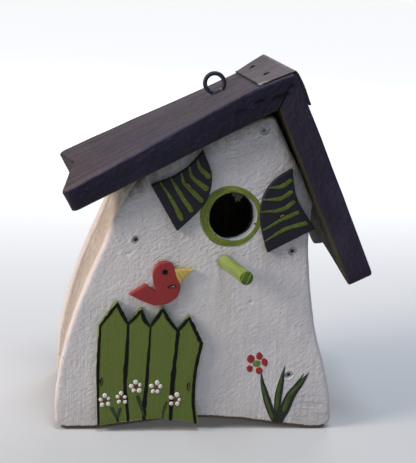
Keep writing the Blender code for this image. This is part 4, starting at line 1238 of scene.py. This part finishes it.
def make_fence():
    left = spline([(-79.2, 77.6), (-79.6, 40.0), (-77.4, 4.6)], 8)
    bottom = spline([(-77.4, 4.6), (-54.7, 8.7), (-32.0, 9.9), (-7.6, 6.6)], 6)[1:]
    right = spline([(-7.6, 6.6), (-11.0, 24.0), (-11.4, 42.0), (-7.6, 65.6)], 6)[1:]
    pickets = [
        (-18.4, 85.5), (-25.8, 75.2), (-36.6, 91.0), (-44.4, 77.6), (-51.1, 90.4), (-59.5, 79.5),
        (-67.4, 95.1),
    ]
    cut_out("fence", left + bottom + right + pickets, "fence_green_paint", "fence_green")
    lines = {
        "left": ([(-78.0, 77.0), (-78.5, 60.0), (-78.6, 40.0), (-77.2, 5.6)], (1.5, 1.9, 2.0, 1.4)),
        "right": (
            [(-9.0, 64.6), (-11.8, 48.0), (-12.6, 33.0), (-12.2, 20.0), (-10.2, 7.0)],
            (2.4, 2.3, 2.3, 2.2, 1.9),
        ),
        "divider_1": (
            [(-59.3, 78.6), (-59.6, 56.0), (-60.0, 34.0), (-58.2, 20.0), (-56.9, 8.8)],
            (1.5, 2.9, 2.7, 2.1, 2.0),
        ),
        "divider_2": (
            [(-44.2, 76.6), (-44.8, 54.0), (-45.4, 34.0), (-46.2, 20.0), (-46.0, 9.8)],
            (1.1, 1.9, 2.3, 3.0, 2.4),
        ),
        "divider_3": (
            [(-25.4, 74.4), (-26.4, 56.0), (-27.2, 40.0), (-27.6, 22.0), (-27.6, 9.8)],
            (2.3, 2.6, 3.4, 2.9, 2.7),
        ),
        "top_1": ([(-78.3, 77.3), (-72.8, 85.0), (-67.3, 93.0)], (1.4, 2.3, 1.8)),
        "top_2": ([(-67.2, 93.4), (-63.7, 86.2), (-59.4, 79.0)], (1.8, 2.7, 1.6)),
        "top_3": ([(-59.2, 79.0), (-55.2, 83.4), (-51.3, 88.4)], (1.3, 2.2, 1.7)),
        "top_4": ([(-50.6, 88.6), (-48.8, 82.6), (-44.9, 77.4)], (1.6, 2.9, 1.1)),
        "top_5": ([(-43.6, 78.0), (-40.2, 83.4), (-36.8, 89.2)], (1.4, 2.4, 1.9)),
        "top_6": ([(-36.4, 89.6), (-32.0, 82.2), (-26.2, 75.0)], (1.8, 2.6, 1.7)),
        "top_7": ([(-25.2, 74.9), (-21.9, 79.0), (-18.7, 83.6)], (1.7, 2.4, 1.8)),
        "top_8": ([(-18.2, 83.8), (-13.8, 75.0), (-8.9, 65.2)], (1.7, 2.7, 2.3)),
    }
    for number, (word, (points, widths)) in enumerate(lines.items()):
        outline = stroke(points, widths, 0.2, number * 2.3)
        mark(f"fence_line_{word}", outline, on_ply, "outline_paint", "fence_green", 0.16 + 0.01 * number)
    stems = [
        ([(-68.4, 17.6), (-65.8, 12.6), (-63.7, 7.6)], (1.9, 1.5, 0.8)),
        ([(-62.7, 17.4), (-63.9, 12.4), (-64.3, 8.4)], (1.7, 1.4, 0.7)),
        ([(-51.0, 26.4), (-48.4, 19.0), (-45.9, 11.4)], (1.9, 1.7, 0.9)),
        ([(-31.0, 22.0), (-32.9, 15.6), (-33.1, 10.4)], (1.4, 1.2, 0.8)),
    ]
    for number, (points, widths) in enumerate(stems, 1):
        outline = stroke(points, [1.35 * w for w in widths], 0.14, number * 3.1)
        mark(f"fence_stem_{number}", outline, on_ply, "stem_green_paint", "fence_green", 0.2)


# Each daisy's centre, and its petals' offsets from it and radii
DAISIES = {
    (-73.3, 23.8): [
        (-0.1, 3.5, 1.75), (-2.9, 0.5, 1.5), (2.5, 1.3, 1.2), (-1.8, -3.3, 1.6), (2.5, -2.7, 1.6),
    ],
    (-62.3, 25.2): [(0.0, 3.8, 1.6), (-2.4, 1.1, 1.4), (2.7, 1.1, 1.3), (-1.4, -2.5, 1.5), (3.0, -2.6, 1.5)],
    (-52.5, 34.0): [(-0.2, 3.2, 1.8), (-3.1, 0.1, 1.7), (2.7, 1.2, 1.4), (-1.3, -3.0, 1.5), (2.5, -3.0, 1.8)],
    (-38.6, 33.4): [(0.7, 3.3, 1.8), (-3.2, 0.9, 1.7), (2.9, 0.8, 1.7), (-2.0, -3.0, 1.6), (1.2, -3.1, 1.6)],
    (-25.0, 24.2): [(1.1, 3.7, 1.9), (-2.8, 1.7, 1.8), (2.9, 0.1, 1.2), (-2.6, -2.7, 1.7), (1.8, -2.9, 1.7)],
}


def make_daisies():
    for number, (centre, petals) in enumerate(DAISIES.items(), 1):
        name = f"daisy_{number}"
        dab(name + "_centre", centre, 1.15, "daisy_centre_paint", on_ply, 1.0, 0.0, 0.4, "bird_red", number)
        for k, (dx, dz, radius) in enumerate(petals, 1):
            place = (centre[0] + dx, centre[1] + dz)
            turn, seed = atan2(dz, dx) * 0.3, number * 7.0 + k
            size = radius * 0.96
            dab(f"{name}_petal_{k}", place, size, "daisy_paint", on_ply, 1.1, turn, 0.7, "white_paint", seed)


def make_flower():
    petals = [
        (26.7, 52.7, 2.65, 1.2), (32.6, 54.9, 2.35, 1.28), (36.7, 50.3, 2.25, 1.38), (33.2, 44.2, 2.4, 1.15),
        (26.4, 45.7, 2.2, 1.22),
    ]
    for k, (x, z, radius, stretch) in enumerate(petals, 1):
        name = f"flower_petal_{k}"
        dab(name, (x, z), radius, "flower_red_paint", on_paint, stretch, 0.1 * k, 0.45, "bird_red", 40.0 + k)
    centre = circle((31.2, 49.4), 2.75, 26, 0.92, 0.1, 0.22, 5.0)
    mark("flower_centre", centre, on_paint, "flower_centre_paint", "fence_green", 0.3)
    leaves = {
        "stem_leaf": (
            [(34.8, 42.3), (36.2, 35.0), (38.8, 26.6), (42.0, 17.6), (45.6, 8.4), (46.8, 5.2)],
            (0.7, 2.9, 4.6, 5.3, 4.2, 1.6),
        ),
        "middle_leaf": (
            [(51.2, 47.6), (49.9, 38.6), (48.5, 28.0), (48.1, 17.0), (48.9, 6.0)], (0.5, 3.3, 5.1, 4.9, 3.0)
        ),
        "right_leaf": (
            [(68.7, 42.8), (63.4, 34.6), (57.2, 26.0), (53.7, 15.8), (51.2, 6.4)], (0.5, 4.2, 6.9, 7.3, 4.0)
        ),
        "right_leaf_tip": ([(65.0, 42.0), (62.6, 37.4), (59.6, 32.8)], (0.5, 1.7, 2.2)),
    }
    for number, (word, (points, widths)) in enumerate(leaves.items()):
        height = 0.16 + 0.03 * number
        outline = stroke(points, widths, 0.07, number * 4.1)
        mark(f"flower_{word}", outline, on_paint, "leaf_dark_paint", "fence_green", height)
        inner = [(x - 0.5 * (k > 0), z) for k, (x, z) in enumerate(points[:-1])]
        (x0, z0), (x1, z1) = points[-2:]
        inner.append((x0 + (x1 - x0) * 0.3, z0 + (z1 - z0) * 0.3))
        outline = stroke(inner, [0.3, *(w * 0.45 for w in widths[1:-1]), 0.3], 0.25, number * 5.3)
        mark(f"flower_{word}_light", outline, on_paint, "leaf_light_paint", "fence_green", height + 0.06)


def make_ring():
    centre = (6.7, 153.9)
    outer = circle(centre, 21.1, 120, 0.985, 0.0, 0.03, 2.0)
    inner = circle(ENTRANCE, ENTRANCE_RADIUS + 0.45, 90, rough=0.03, seed=3.4)

    def round_ring(u, v, w):
        x, z = u - centre[0], v - centre[1]
        return atan2(z, x) * 18.0, hypot(x, z), w

    plate(
        "entrance_ring", outer, PAINT_FOOT, 0.22, on_paint, "ring_green_paint", [(inner, (0.0, 0.0))],
        round1=0.2, steps=3, step=1.2, spacing=1.6, wobble=0.12, wobble_size=2.5, seed=4.8,
        grain_of=round_ring, slot="perch_green", angle=70,
    )
    drops = [(-3.8, 141.9, 0.8), (-3.2, 139.4, 0.55), (9.5, 172.6, 0.5), (-9.4, 149.0, 0.6)]
    for number, (x, z, radius) in enumerate(drops, 1):
        name = f"ring_drop_{number}"
        dab(name, (x, z), radius, "ring_green_paint", on_paint, 1.1, 0.2, 0.55, "perch_green", 60.0 + number)
    dab("ring_hole", (23.4, 149.4), 0.75, "strip_slot", on_paint, 0.8, 0.3, 0.32, "perch_green", 71.0)


def make_splinter():
    """Torn wood the drill left at the back of the entrance, at its upper right."""
    def place(u, v, w):
        return u, INNER_FRONT_Y - 1.0 - w, v
    outline = [
        (7.8, 170.0), (8.6, 165.4), (10.0, 166.0), (10.9, 161.6), (12.2, 163.6), (13.6, 162.2), (14.2, 164.6),
        (15.8, 165.4), (16.6, 168.4),
    ]
    plate(
        "entrance_splinter", outline, 0.0, 1.6, place, "torn_wood", round1=0.3, steps=2, step=0.8, wobble=0.2,
        slot="white_paint",
    )


def make_perch():
    way = Vector((DRILL[0], -1.0, DRILL[1])).normalized()
    seat = frame_at((PERCH[0], FRONT_Y, PERCH[1]), way, (1, 0, 0))
    thick = PERCH_RADIUS + PERCH_EXTRA
    rows = [(PERCH_RADIUS - 0.6, -PANEL), (PERCH_RADIUS, -PANEL + 0.6)]
    rows += [(PERCH_RADIUS, -1.0), (thick + 0.2, 0.0), (thick + 0.1, 0.35), (thick, 0.9)]
    rows += [(thick, d) for d in np.linspace(2.5, PERCH_REACH - 0.8, 20)]
    rows += [(thick - inset, PERCH_REACH - back) for inset, back in ((0.06, 0.3), (0.18, 0.1), (0.35, 0))]
    rows += [(thick - 0.35 - k * 0.82, PERCH_REACH + 0.05) for k in range(1, 6)]
    rings, grain = [], []
    for radius, depth in rows:
        ring = []
        for a in np.linspace(0, 2 * pi, 36, False):
            r = radius + 0.07 * drift(cos(a) * 1.4, sin(a) * 1.4, depth * 0.12)
            end = 0.12 * drift(r * cos(a), r * sin(a) * 0.5, 4.0) if depth > PERCH_REACH else 0
            grain.append((depth, a * 4.2, radius))
            ring.append((r * cos(a), r * sin(a), depth + end))
        rings.append(ring)
    perch = skin(
        "perch_painted", seated(seat, rings), ["perch_green_paint", "perch_end_paint"], grain,
        slot="perch_green", replaces=["perch"],
    )
    tip = seat @ Vector((0, 0, PERCH_REACH - 0.1)) * MM
    use_second(perch, lambda p: (p - tip).dot(way) > 0)


# Stage

def softbox(name, place, size, power, tint):
    light = bpy.data.lights.new(name, "AREA")
    light.shape = "DISK"
    light.size, light.energy, light.color = size, power, tint
    lamp = bpy.data.objects.new(name, light)
    bpy.context.scene.collection.objects.link(lamp)
    lamp.location = place
    lamp.rotation_mode = "QUATERNION"
    lamp.rotation_quaternion = (Vector((0, 0, 0.12)) - Vector(place)).to_track_quat("-Z", "Y")


def make_stage():
    """A wide pale floor, soft light from above and the left, and a pale surround."""
    bpy.ops.mesh.primitive_plane_add(size=24.0)
    floor = bpy.context.object
    floor.name = "stage_floor"
    r = Recipe("stage_floor", 0.9, specular=0.1, coordinates="object")
    away = r.node("VectorMath", {0: r.where}, operation="LENGTH").outputs["Value"]
    glow = r.maths("MAXIMUM", r.ramp(away, 0.9, 3.2, 0.05, 0.6), r.ramp(r.across, -0.1, 1.2, 0.05, 0.85))
    r.join((1, 1, 1, 1), r.shader["Emission Color"])
    r.join(glow, r.shader["Emission Strength"])
    r.base = (0.5, 0.5, 0.51, 1)
    r.done()
    floor.data.materials.append(r.material)

    world = bpy.context.scene.world or bpy.data.worlds.new("studio")
    bpy.context.scene.world = world
    world.use_nodes = True
    nodes, links = world.node_tree.nodes, world.node_tree.links
    sky, bright = nodes["Background"], nodes.new("ShaderNodeBackground")
    for shader, tint, strength in ((sky, (0.66, 0.82, 1.0, 1), 0.24), (bright, (1, 1, 1, 1), 1.0)):
        shader.inputs["Color"].default_value = tint
        shader.inputs["Strength"].default_value = strength
    choice = nodes.new("ShaderNodeMixShader")
    links.new(nodes.new("ShaderNodeLightPath").outputs["Is Camera Ray"], choice.inputs[0])
    links.new(sky.outputs[0], choice.inputs[1])
    links.new(bright.outputs[0], choice.inputs[2])
    links.new(choice.outputs[0], nodes["World Output"].inputs["Surface"])
    softbox("key", (-1.5, -0.47, 0.9), 0.7, 27.0, (1.0, 0.86, 0.74))
    softbox("top", (0.0, -0.42, 1.75), 0.7, 16.0, (0.82, 0.91, 1.0))
    softbox("behind", (0.5, 1.5, 1.3), 1.0, 12.0, (0.95, 0.95, 1.0))


def make_camera():
    """At the height of the ridge, to the left of the front, looking a little down and to the right."""
    right = Vector((0.99075, -0.12428, 0.05446))
    up = Vector((-0.02147, 0.25268, 0.96731))
    data = bpy.data.cameras.new("camera")
    data.sensor_width = 36.0
    data.lens = 81.64
    data.clip_start, data.clip_end = 0.01, 50.0
    camera = bpy.data.objects.new("camera", data)
    bpy.context.scene.collection.objects.link(camera)
    turn = Matrix((right, up, right.cross(up))).transposed()
    camera.matrix_world = Matrix.Translation((-0.1021, -0.7016, 0.3170)) @ turn.to_4x4()
    bpy.context.scene.camera = camera


def main():
    make_surfaces()
    make_panels()
    make_sides()
    make_roof()
    make_splits()
    make_strip()
    make_shutters()
    make_bird()
    make_fence()
    make_daisies()
    make_flower()
    make_ring()
    make_splinter()
    make_perch()
    make_fasteners()
    make_eye()
    for name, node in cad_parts.items():
        surface = "sawn_softwood" if name in ("floor_board", "ridge_rail") else "bare_screw"
        if not node.hide_render:
            node.data.materials.clear()
            node.data.materials.append(SURFACES[surface])
    make_stage()
    make_camera()
    bpy.context.scene.view_settings.view_transform = "Standard"


main()
